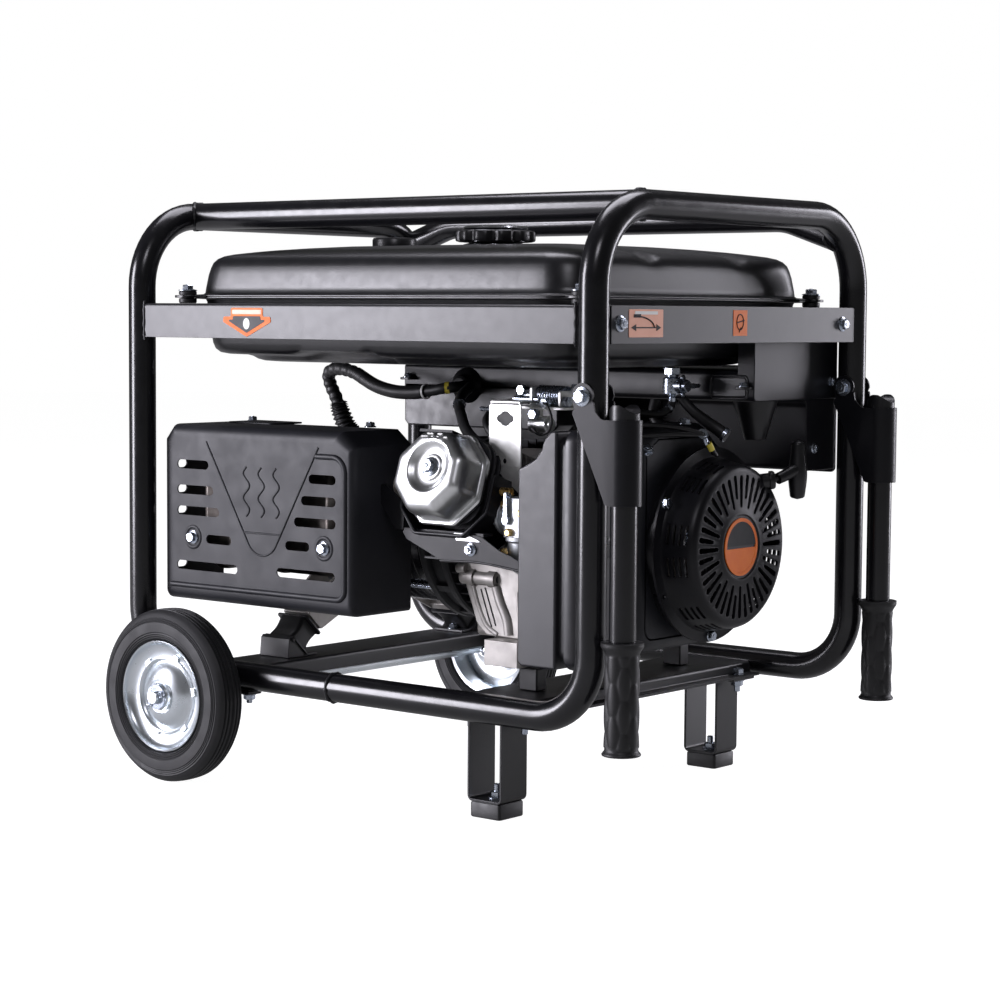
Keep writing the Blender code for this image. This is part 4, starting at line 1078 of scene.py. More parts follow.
def carburettor():
    body = merged(prism(rectangle(156, -176, 194, -138, 7, 5), "z", 302, 346),
        lathe([(0, 262), (9, 262), (13, 264), (17, 268), (18.6, 274), (19.4, 284), (19.4, 297),
        (22, 298), (22, 303), (0, 303)], "z", (175, -157, 0), 48),
        rod((-157, 322), "x", 140, 221.5, 15, 40), rod((-157, 322), "x", 147, 151, 20, 40),
        rod((-157, 322), "x", 198, 203, 21, 40), rod((175, -157), "z", 345, 352, 8, 28))
    add("carburettor_casting", body, "carb_metal",
        stands_for=["carburettor"], edges=0.9)
    screws = [spun([(0, 0), (4.6, 0), (4.6, 4), (3.2, 5), (0, 5)], p, d,
        24) for p, d in (((156, -168, 338), (-1, -0.2, 0)), ((168, -176, 308), (0, -1, 0)),
        ((186, -176, 330), (0, -1, 0)), ((158, -170, 276), (-1, -0.4, 0)))]
    spring = [Vector((152 + i * 0.28, -171, 352 + 0.0)) + Vector((0, 4 * math.cos(i * 0.9),
        4 * math.sin(i * 0.9))) for i in range(56)]
    screws.append(sweep(spring, 0.8, 8))
    add("carburettor_screws", screws, "brass")
    add("carburettor_drain", turned(merged(hex_block(11, 5, 9.5, 6),
        lathe([(0, 5), (3, 5), (3, 10), (0, 10)], steps=20)), aimed((160, -172, 285),
        (-0.5, -1, -0.2))), "brass")
    lever = prism(flipped(rounded([(161.5, 316), (168.5, 316), (167, 352), (163, 352)],
        [3, 3, 1.8, 1.8], 5)), "y", -180.8, -178.4)
    knob = spun([(0, 0), (4, 0), (4.2, 3), (3, 4), (0, 4)], (165, -177, 348), (0, 1, 0), 24)
    add("choke_plate", merged(lever, lathe([(0, -181), (4.6, -181), (4.6, -176.6), (0, -176.6)],
        "y", (165, 0, 322), 24), knob), "bolt_zinc", "choke", stands_for=["choke_lever"],
        edges=0.4)


def air_cleaner():
    low_y, high_y, low_z, high_z = -229.0, -132.0, 172.0, 425.0
    side = [(222, low_z), (274, low_z), (274, high_z - 1), (266, high_z - 1), (256, 414),
        (253, 404), (246, 395), (234, 388), (222, 383)]
    outline = flipped(rounded(side, [8, 3, 3, 8, 8, 8, 10, 10, 4], 6))
    add("air_cleaner_back", prism(outline, "y", low_y, high_y), "filter_plastic",
        stands_for=["air_cleaner_base"], edges=3.0, segments=3)
    core = prism(rectangle(low_y + 6, low_z + 6, high_y - 6, high_z - 6, 14, 6), "x", 273, 287)
    add("air_cleaner_groove", core, "filter_plastic", edges=1.0)
    def face(inset, x, corner):
        return [(x, a, b) for a, b in rectangle(low_y + inset, low_z + inset, high_y - inset,
            high_z - inset, corner, 8)]
    cover = loft([face(3, 284.6, 13), face(0.3, 285.4, 15), face(0, 287, 15), face(0, 294, 15),
        face(1.4, 298.4, 14.5), face(4.6, 302, 13), face(9, 303.8, 11), face(22, 304, 8),
        face(24.5, 302.6, 7), face(28, 302.2, 6)])
    add("air_cleaner_lid", cover, "filter_plastic", stands_for=["air_cleaner_cover"], smooth=40)
    knob = merged(lathe([(0, 302), (12, 302), (12, 305), (9, 307), (0, 307)], "x", (0, -180, 300),
        36), prism(rectangle(-196, 296.5, -164, 303.5, 3, 4), "x", 303, 312))
    add("air_cleaner_wing_nut", knob, "black_plastic", edges=1.2)


# ---------------------------------------------------------- blower and recoil

def blower():
    scroll = (arc((-41, 199), 30, 180, 270, 8) + arc((CRANK_Y, CRANK_Z), 118, -90, 55,
        36) + rounded([(62, 424), (-36, 424), (-71, 396)], 0, 1))
    centre = Vector((CRANK_Y - 10, CRANK_Z))

    def ring(offset, x):
        outline = [Vector(p) for p in scroll]
        shrunk = []
        for i, p in enumerate(outline):
            ahead = (outline[(i + 1) % len(outline)] - outline[i - 1]).normalized()
            inward = Vector((-ahead.y, ahead.x))
            if inward.dot(centre - p) < 0:
                inward = -inward
            q = p + inward * offset
            shrunk.append((x, q.x, q.y))
        return shrunk
    shell = loft([ring(0, 193), ring(0, 246), ring(1.2, 252), ring(4.6, 258), ring(9, 262),
        ring(15, 264), ring(17, 264), ring(17, 262), ring(10, 259.6), ring(6, 255), ring(3, 250),
        ring(2.4, 246), ring(2.4, 193)], closed=True)
    add("blower_shell", shell, "guard_paint", stands_for=["blower_housing"], smooth=40)
    outline = [(p[1], p[2]) for p in ring(15, 0)]
    plate = add("blower_face", prism(outline, "x", 262.2, 264), "guard_paint")
    carve(plate, rod((CRANK_Y, CRANK_Z), "x", 250, 280, 92, 64))
    rim = merged(*[bolt((262 if x > 200 else 205, y, z), d, 10,
        7.5) for x, y, z, d in ((262, -52, 396, (0.5, -0.4, 0.8)), (205, 20, 424, (0, 0, 1)))])
    add("blower_bolts", rim, "bolt_zinc")


def recoil():
    profile = [(101, 264.4), (103, 264.4), (103, 277.6), (111, 278), (111, 281), (104, 281),
        (99.4, 282), (98, 284.6), (94.8, 303), (93.0, 312), (91.2, 316.6), (88.4, 319.6),
        (84, 321), (42, 321.8), (39.6, 323), (36.8, 323), (35.6, 321.4), (0, 321.4), (0, 318.6),
        (34, 318.6), (82, 317.8), (86.6, 316.6), (89.6, 312), (91.6, 303), (95, 284), (96, 278),
        (101, 277)]
    cover = add("recoil_cover_shell", lathe(profile, "x", CRANK, 128), "satin_paint",
        stands_for=["recoil_cover"], smooth=28)
    slots = []
    for i in range(40):
        inner, outer = (54, 82) if i % 2 else (44, 81)
        turn = about_crank(2 * math.pi * i / 40)
        wedge = (arc((0, outer - 3.2), 3.2, 0, 180, 6) + arc((0, inner + 2.3), 2.3, 180, 360, 6))
        slots.append(turned(prism(wedge, "x", 312, 328), turn))
    for group in range(6):
        for side in (-11, 11):
            turn = about_crank(math.radians(60 * group + 30 + side))
            for row in range(4):
                x = 289 + row * 7.2
                slot = loft([[(x + p[1], p[0], h) for p in pill((0, 0), 23, 3.6, 4)] for h in (82,
                    110)])
                slots.append(turned(slot, turn))
    fixings = []
    for k in range(6):
        angle = math.radians(90 + 60 * k)
        y, z = CRANK_Y + 104 * math.cos(angle), CRANK_Z + 104 * math.sin(angle)
        if k in (0, 2):
            slots.append(rod((y, z), "x", 258, 284, 2.8, 20))
        else:
            fixings.append(bolt((281, y, z), (1, 0, 0), 10.5, 6.5))
    carve(cover, *slots)
    add("recoil_bolts", fixings, "bolt_zinc")
    add("recoil_badge_ring", lathe([(28.6, 321), (32.6, 321), (32.6, 322.6), (28.6, 322.6)], "x",
        CRANK, 72), "label_orange")
    upper = arc((CRANK_Y, CRANK_Z), 28.4, 3, 177, 36)
    lower = arc((CRANK_Y, CRANK_Z), 28.4, 183, 357, 36)
    add("recoil_badge_upper", prism(upper, "x", 321, 322.4), "label_black")
    add("recoil_badge_lower", prism(lower, "x", 321, 322.4), "label_orange")
    guide = filleted([(306, 86, 350), (314, 97, 358, 14), (323, 107, 359.5)], 5)
    add("rope_guide", merged(sweep(guide, 8.6, 24), spun([(5, 0), (10.6, 0), (10.6, 4), (9, 6),
        (5, 6)], (321, 104.5, 359.3), (0.75, 0.65, 0.1), 32)), "black_plastic", smooth=40)
    reel = [(8.6, 294), (50, 294), (52, 294.6), (52, 296), (48, 297.5), (48, 303), (52, 304.5),
        (52, 305.9), (50, 306.5), (40, 306.5), (38, 304), (14, 304), (12, 306.5), (8.6, 306.5)]
    add("recoil_reel_disc", lathe(reel, "x", CRANK, 72), "black_plastic", "recoil_reel",
        stands_for=["recoil_pulley"])


def starter_grip():
    rings = []
    for k in range(41):
        s = k / 40
        z = 336.2 + 67.6 * s
        width = 7.6 + 3.6 * math.exp(-((s - 0.42) / 0.34) ** 2)
        past = max(0.0, abs(s - 0.5) - 0.44) / 0.06
        end = math.sqrt(max(0.0, 1 - past ** 2))
        half_x, half_y = (width * 0.95 * end * 1.02, width * end) if end > 0.05 else (0.6, 0.6)
        rings.append([(334 + half_x * math.cos(t), 143 + half_y * math.sin(t),
            z) for t in turns(36)])
    neck = smooth_route([(334, 142, 371), (333, 134, 369), (330, 123, 364.6),
        (326.6, 112.6, 360.8)], 6)
    count = len(neck) - 1
    shaft = sweep(neck, lambda i: 8.4 - 1.8 * math.sin(math.pi * 0.5 * i / count), 24)
    add("starter_grip_handle", merged(loft(rings), shaft), "black_plastic", "starter_handle",
        stands_for=["starter_grip"], smooth=50)
    start, end = Vector((318, 99, 358.4)), Vector((327, 113.5, 361.2))
    route = [start.lerp(end, k / 30) for k in range(31)]
    rope = add("starter_rope", sweep(route, 2.3, 12), "black_rubber", body=None, smooth=60)
    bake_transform(rope)


def rotating_parts():
    """Inner parts seen through the slots of the covers."""
    blades = []
    for k in range(18):
        t = 2 * math.pi * k / 18
        outline = [(CRANK_Y + r * math.cos(t + a), CRANK_Z + r * math.sin(t + a)) for r, a in ((60,
            0.0), (76, 0.06), (93, 0.2), (93, 0.24), (76, 0.11), (60, 0.06))]
        blades.append(prism(outline, "x", 226, 248))
    fan = lathe([(17.7, 200), (88, 200), (92, 204), (92, 224), (93, 226.5), (58, 226.5), (52, 236),
        (40, 240), (17.7, 240)], "x", CRANK, 72)
    add("flywheel_and_blades", merged(fan, *blades), "rotor_steel", "engine_rotor",
        stands_for=["flywheel_fan"])
    shaft = [(0, -262), (9, -262), (10, -261), (10, -244), (17, -244), (17, 240), (10, 240),
        (10, 275), (9, 276), (0, 276)]
    add("crankshaft_bar", lathe(shaft, "x", CRANK, 48), "rotor_steel", "engine_rotor",
        stands_for=["crankshaft"])
    cup = merged(lathe([(10.2, 252), (16, 252), (16, 254), (10.2, 254)], "x", CRANK, 32),
        turned(hex_block(24, 12, 21, 13.4), aimed((254, CRANK_Y, CRANK_Z), (1, 0, 0))))
    add("flywheel_nut", cup, "bolt_zinc", "engine_rotor", edges=0.5)
    rotor = lathe([(17.6, -230), (58, -230), (60, -229), (70, -222), (70, -20), (60, -12),
        (17.6, -12)], "x", CRANK, 64)
    add("alternator_rotor_core", rotor, "rotor_steel", "engine_rotor",
        stands_for=["alternator_rotor"], edges=0.8)


# ----------------------------------------------------------- guard and muffler

GUARD_SLOTS = ((-292, -239, 366), (-292, -231, 336), (-292, -221, 311), (-243, -201, 279),
    (-293, -191, 246), (-76, -34, 358), (-88, -34, 333), (-99, -34, 308), (-113, -75, 280),
    (-127, -35, 248))


def guard():
    def outline(inset):
        return [(x, z) for x, z in rounded([(-318 + inset, 204 + inset),
            (-318 + inset, 397 - inset * 0.6), (-304 + inset * 0.6, 413 - inset),
            (-30 - inset * 0.6, 413 - inset), (-9 - inset * 0.45, 396 - inset * 0.6),
            (-9 - inset * 0.45, 204 + inset)], [7, 3, 3, 3, 3, 5], 5)]

    def ring(inset, y):
        return [(x, y, z) for x, z in outline(inset)]
    levels = [(14, -238), (10, -237.6), (6.6, -236.4), (3.8, -234.2), (1.8, -231.2), (0.5, -227.6),
        (0, -223.5), (0, -138), (1.8, -138), (1.8, -223.5), (2.4, -227), (3.6, -230),
        (5.6, -232.8), (8.4, -234.8), (11, -235.8), (14, -236.2)]
    shell = add("guard_pressing", loft([ring(i, y) for i, y in levels]), "guard_paint",
        stands_for=["muffler_guard"], smooth=30)
    tools = []
    for left, right, z in GUARD_SLOTS:
        shape = [(b, a) for a, b in pill(((left + right) / 2, z), right - left, 10.6, 8)]
        tools.append(prism(shape, "y", -260, -228))
        if left < -280:
            side = [(-216 + a, z - 1.5 + b) for a, b in pill((0, 0), 34, 10.6, 6)]
            tools.append(prism(side, "x", -326, -312))
    tools.append(rod((-150, 350), "x", -16, -4, 19, 32))
    carve(shell, *tools)
    v_line = filleted([(-242.6, -238, 394), (-150, -238, 240, 26), (-61, -238, 394)], 12)
    beads = [sweep(v_line, 1.25, 10)]
    outer = filleted([(-64, -237.6, 384), (-20, -237.6, 384, 18), (-20, -237.6, 223, 12),
        (-302, -237.6, 222)], 10)
    beads.append(sweep(outer, 3.4, 14))
    for k in range(3):
        x = -176 + 24 * k
        wave = [Vector((x + 5 * math.sin(j * 0.42), -237.9, 310 + j * 1.9)) for j in range(31)]
        beads.append(sweep(wave, 1.3, 8))
    beads.append(sweep([Vector((-180, -237.9, 291)), Vector((-122, -237.9, 291))], 1.1, 8))
    add("guard_beads", beads, "guard_paint", smooth=60)
    dishes, fixings = [], []
    for x, z in ((-265, 280), (-52, 280)):
        dishes.append(lathe([(9.5, -237.6), (10.8, -239.2), (13.2, -239.4), (14.8, -237.8)], "y",
            (x, 0, z), 40))
        fixings.append(bolt((x, -238, z), (0, -1, 0), 11, 8))
    for x, y in ((-292, -118), (-88, -128)):
        fixings.append(bolt((x + 6, y, 413), (0, 0, 1), 10, 7))
    add("guard_dishes", dishes, "guard_paint", smooth=60)
    add("guard_bolts", fixings, "bolt_zinc")
    ridge = prism(rounded([(-280, -168), (-206, -168), (-198, -150), (-206, -114), (-280, -114)],
        [6, 6, 6, 1, 1], 4), "z", 412.6, 414.8)
    add("guard_ridge", ridge, "guard_paint", edges=0.9)


def muffler():
    section = rectangle(-216, 240, -128, 380, 34, 10)

    def ring(x, grow):
        return [(x, -172 + (a + 172) * grow, 310 + (b - 310) * grow) for a, b in section]
    levels = [(-274, 0.78), (-272, 0.9), (-268, 0.955), (-266, 1.0), (-264, 1.02), (-262, 1.02),
        (-260, 0.985), (-170, 0.985), (-168, 1.0), (-164, 1.0), (-162, 0.985), (-72, 0.985),
        (-70, 1.02), (-67, 1.02), (-65, 1.0), (-63, 0.95), (-58, 0.88), (-55, 0.74)]
    add("muffler_can", loft([ring(x, g) for x, g in levels]), "rotor_steel",
        stands_for=["muffler"], smooth=40)
    pipe = merged(rod((-150, 350), "x", -62, 33.4, 14.5, 36), lathe([(14, -26), (18.2, -26),
        (18.2, -22), (14, -22)], "x", (0, -150, 350), 36), prism(rectangle(-176, 338, -124, 362,
        10, 6), "x", 24, 33.2), spun([(10, 0), (12, 0), (12, 22), (10, 22)], (-272, -150, 268),
        (-1, 0, -0.2), 32))
    add("muffler_pipe", pipe, "rotor_steel", smooth=40)
    add("muffler_nuts", merged(*[bolt((24, y, 350), (-1, 0, 0), 10, 6, stud=5) for y in (-170,
        -130)]), "bolt_zinc")


# ------------------------------------------------------------------ alternator

def alternator():
    stator = [(76, -230), (93, -230), (95, -228), (95, -226)]
    for k in range(13):
        x = -222 + k * 12.0
        stator += [(95, x), (95, x + 8.6), (94.2, x + 9.2), (94.2, x + 11.4)]
    stator += [(95, -64), (93, -62), (76, -62)]
    add("alternator_stator", lathe(stator, "x", CRANK, 72), "gloss_paint",
        smooth=30)
    front = [(80, -66), (109, -66), (110.6, -64), (110.6, -56), (108, -54), (104, -53), (104, -34),
        (108, -32), (113, -30), (114, -28), (114, -22), (112, -20), (102, -20), (102, 24),
        (92, 24), (92, -18), (80, -24)]
    add("alternator_front_bell", lathe(front, "x", CRANK, 96), "dark_casting",
        stands_for=["alternator_housing"], smooth=30)
    fins = []
    for k in range(44):
        turn = about_crank(2 * math.pi * k / 44)
        fins.append(turned(block((-20, -1.2, 101), (27, 1.2, 110)), turn))
    for k in range(12):
        turn = about_crank(2 * math.pi * (k + 0.3) / 12)
        fins.append(turned(block((-55, -5, 103), (-31, 5, 109)), turn))
    add("alternator_bell_fins", fins, "dark_casting", edges=0.5)
    bell = [(40, -282), (66, -282), (80, -279), (88, -273), (92, -264), (96, -256), (97, -252),
        (97, -230), (95, -228), (76, -228), (76, -262), (70, -270), (40, -272)]
    end = add("alternator_end_bell", lathe(bell, "x", CRANK, 96), "cast_aluminium", smooth=30)
    vents = []
    for k in range(20):
        turn = about_crank(2 * math.pi * (k + 0.5) / 20)
        wedge = arc((0, 66), 3.6, 0, 180, 6) + arc((0, 50), 2.6, 180, 360, 6)
        vents.append(turned(prism(wedge, "x", -290, -260), turn))
        if k % 2:
            gap = loft([[(-246 + a, b, h) for a, b in pill((0, 0), 20, 9, 5)] for h in (70, 104)])
            vents.append(turned(gap, turn))
    carve(end, *vents)
    hub = merged(lathe([(0, -276), (38, -276), (42, -279), (42, -283), (36, -284.6), (34, -284.6),
        (32, -282), (0, -282)], "x", CRANK, 64), *[rod((CRANK_Y + 24 * math.cos(t),
        CRANK_Z + 24 * math.sin(t)), "x", -284.5, -280, 4.5, 20) for t in (0.5, 2.6, 4.7)])
    add("alternator_hub_cover", hub, "dark_casting", edges=0.6)
    ties = []
    for k in range(4):
        t = math.pi / 4 + k * math.pi / 2
        y, z = CRANK_Y + 86 * math.cos(t), CRANK_Z + 86 * math.sin(t)
        ties += [bolt((-268, y, z), (-1, 0, 0), 9, 6.5)]
        ties.append(rod((CRANK_Y + 98.4 * math.cos(t), CRANK_Z + 98.4 * math.sin(t)), "x", -246,
            -60, 3.2, 16))
    add("alternator_tie_bolts", ties, "bolt_zinc", smooth=40)
    legs = []
    for side in (-1, 1):
        def foot(points):
            return [(CRANK_Y + side * (CRANK_Y - y), z) for y, z in points]
        legs += [prism(rounded(foot([(-80, 160), (-103, 182), (-44, 232), (6, 200)]), [4, 4, 2, 2],
            4), "x", -250, -246), prism(rounded(foot([(-80, 160), (-103, 182), (-44, 232),
            (6, 200)]), [4, 4, 2, 2], 4), "x", -210, -206), prism(foot([(-80, 160), (-103, 182),
            (-96, 188), (-73, 167)]), "x", -247, -209)]
    add("alternator_legs", legs, "cast_aluminium", edges=0.8)
    outlet = merged(spun([(0, 0), (13, 0), (13, 6), (10.5, 8), (10, 16), (8, 17), (0, 17)],
        (-249, 38, 379), (0, 0, 1), 40), prism(rectangle(-268, 20, -230, 60, 6, 5), "z", 370, 382))
    add("alternator_outlet", outlet, "black_rubber", edges=0.8)


def isolators():
    for name, side in (("near_isolator", -1), ("far_isolator", 1)):
        def at(y, z):
            return (-228, CRANK_Y + side * (CRANK_Y - y), z)
        direction = Vector((0, -side * 0.70, 0.714))
        base = Vector(at(-118.2, 144.3))
        frame_at = aimed(base, direction)
        levels = [(16.6, 0.0), (16.6, 0.8), (16.4, 3), (14.8, 9), (14.2, 15), (14.8, 21),
            (16.4, 27), (16.6, 29.2), (16.6, 30)]
        rings = [[(a, b, h) for a, b in rectangle(-19.6, -w, 19.6, w, 5, 4)] for w, h in levels]
        add(name + "_rubber", turned(loft(rings), frame_at), "black_rubber", stands_for=[name])
        plates = [turned(prism(rectangle(-26, -17.6, 26, 17.6, 5, 5), "z", h, h + 2.4),
            frame_at) for h in (-2.6, 30.2)]
        foot = [at(-140, 130.4)[1:], at(-90, 130.4)[1:], at(-90, 133.4)[1:], at(-108, 134)[1:],
            at(-134, 156)[1:], at(-138, 153)[1:], at(-140, 134)[1:]]
        plates.append(prism(foot, "x", -252, -204))
        plates.append(turned(prism(rectangle(-26, 12, 26, 19, 2, 3), "z", -6, -2.4), frame_at))
        add(name + "_plates", plates, "sheet_paint", edges=0.7)
        nut = [bolt(frame_at @ Vector((0, 0, 32.6)), direction, 11, 8, stud=3),
            bolt(at(-100, 133.4), (0, 0, 1), 10, 8)]
        add(name + "_nuts", nut, "bolt_zinc")


# ------------------------------------------------------------------ control box

def control_box():
    section = [(71, 449), (184, 449), (184, 366), (246, 366), (246, 484), (71, 484)]
    outline = rounded(section, [6, 10, 6, 1, 1, 6], 6)
    add("control_box_shell", prism(outline, "x", -206, 319), "satin_paint",
        stands_for=["control_box"], edges=2.2, segments=3)
    low = [(460, -206), (412, -206), (406, -200), (406, 34), (412, 40), (460, 40)]
    add("control_box_low_part", prism(rounded(low, [0, 4, 4, 4, 4, 0], 4), "y", 71, 185),
        "black_plastic", edges=2.2, segments=3)
    frame_line = [Vector((x, 70.6, z)) for z, x in rectangle(452.5, 262, 478, 312, 5, 5)]
    add("control_box_bead", sweep(frame_line, 1.5, 10, True), "black_plastic", smooth=60)
    inner = prism(rectangle(454.5, 264, 476, 310, 3, 4), "y", 69.4, 72)
    add("control_box_pad", inner, "black_plastic", edges=0.9)
    tower = prism(rounded([(70.4, 449.6), (246.4, 449.6), (246.4, 522), (70.4, 522)], [6, 1, 8, 8],
        5), "x", 298, 321)
    add("control_box_tower", tower, "satin_paint", edges=2.0)
    lugs = [prism(rounded([(-206 + x, 60), (-186 + x, 60), (-186 + x, 72), (-206 + x, 72)],
        [5, 5, 0, 0], 5), "z", 463, 466) for x in (0, 505)]
    add("control_box_lugs", lugs, "black_plastic", edges=0.6)
    add("control_box_screws", merged(*[bolt((x, 66, 466), (0, 0, 1), 8, 6) for x in (-196, 309)],
        bolt((319, 200, 392), (1, 0, 0), 8, 6), bolt((321, 232, 470), (1, 0, 0), 8, 6)),
        "bolt_zinc")
    funnel = [(0, 404), (12, 404), (13, 406), (20, 430), (25, 446), (26, 450), (0, 450)]
    add("control_box_funnel", lathe(funnel, "z", (290, 120, 0), 48), "black_plastic", smooth=40)


def socket_face(x, z, radius):
    """Generic round outlet: collar, insert and three blade slots, all on the far panel."""
    collar = lathe([(radius - 4, 249.6), (radius, 249.6), (radius, 253), (radius - 1.5, 255),
        (radius - 4, 255)], "y", (x, 0, z), 48)
    insert = lathe([(0, 249.6), (radius - 4.2, 249.6), (radius - 4.2, 252), (0, 252)], "y",
        (x, 0, z), 40)
    slots = [prism([(z + b, x + a) for a, b in pill((0, 0), 2.6, 2.4, 4)], "y", 252.02, 252.3)]
    for dx, tall in ((-6, 9), (6, 11)):
        slots.append(prism([(z - tall / 2 + 2, x + dx - 1.1), (z + tall / 2 + 2, x + dx - 1.1),
            (z + tall / 2 + 2, x + dx + 1.1), (z - tall / 2 + 2, x + dx + 1.1)], "y", 251.9,
            252.4))
    slots.append(rod((z - 8, x), "y", 251.9, 252.4, 2.4, 16))
    return collar, insert, slots


def control_panel():
    face = rectangle(362, -206, 486, 319, 6, 6)
    add("control_panel_sheet", prism(face, "y", 246.3, 250), "sheet_paint",
        stands_for=["control_panel"], edges=1.0)
    rim = [Vector((x, 250, z)) for z, x in rectangle(370, -198, 478, 311, 8, 6)]
    add("control_panel_bead", sweep(rim, 1.6, 10, True), "sheet_paint", smooth=60)
    collars, inserts, marks = [], [], []
    for x, z, radius in ((-150, 424, 27), (-84, 424, 27), (-12, 424, 32), (66, 424, 24),
            (124, 424, 24)):
        collar, insert, slots = socket_face(x, z, radius)
        collars.append(collar)
        inserts.append(insert)
        marks += slots
    add("socket_collars", collars, "black_plastic", smooth=40)
    add("socket_inserts", inserts, "socket_blue", smooth=40)
    add("socket_slots", marks, "label_black")
    meter = merged(prism(rectangle(440, 150, 474, 192, 4, 4), "y", 249.8, 254))
    add("hour_meter_case", meter, "black_plastic", edges=1.0)
    add("hour_meter_window", prism(rectangle(448, 156, 466, 186, 2, 3), "y", 253.8, 254.4),
        "clear_lens")
    case = merged(prism(rectangle(424, 190, 456, 218, 3, 4), "y", 249.8, 251.6),
        prism(rectangle(388, 160, 410, 210, 3, 4), "y", 249.8, 252.4),
        *[rod((399, 172 + 26 * k), "y", 252, 256, 6.5, 28) for k in (0, 1)])
    add("breaker_guard_plate", case, "black_plastic", edges=0.8)
    dial = [(12.6, 249.8), (17, 249.8), (17, 251.4), (15, 253), (12.6, 253)]
    add("key_bezel", lathe(dial, "y", KEY, 48), "cap_chrome")
    marks = [rod((440 + 21 * math.sin(t), 262 + 21 * math.cos(t)), "y", 249.9, 250.4, 1.6,
        12) for t in (math.pi / 2, math.pi / 2 - 0.7, math.pi / 2 - 1.4)]
    add("key_marks", marks, "label_white")
    stud = merged(lathe([(0, 250), (8, 250), (8, 251.4), (3, 251.6), (3, 266), (2.4, 267),
        (0, 267)], "y", (262, 0, 390), 28), turned(hex_block(12, 6, 10, 7),
        aimed((262, 252, 390), (0, 1, 0))))
    add("ground_stud", stud, "brass")
    screws = [bolt((x, 250, z), (0, 1, 0), 7, 5.5) for x in (-190, 60, 303) for z in (370, 478)]
    add("control_panel_screws", screws, "bolt_zinc")
    plug = lathe([(0, 250.3), (10, 250.3), (11, 251.4), (11, 255), (10, 256), (0, 256)], "y", KEY,
        40)
    add("key_barrel", plug, "cap_chrome", "key", stands_for=["key_switch"])
    bow = prism(rectangle(428, 260.6, 452, 263.4, 1.2, 3), "y", 255.6, 272)
    add("key_bow", bow, "black_plastic", "key", edges=1.0)
    hub = rod((255.6, 440), "x", 196, 212, 5, 32)
    add("breaker_hub", hub, "black_plastic", "breaker", stands_for=["breaker_switch"], edges=0.5)
    lever = prism(rounded([(255.6, 440), (268.4, 440.6), (269, 443.4), (255.6, 444.6)],
        [0.3, 1, 1, 0.3], 3), "x", 200, 208)
    add("breaker_lever", lever, "label_white", "breaker", edges=0.6)


# ---------------------------------------------------------------------- wiring

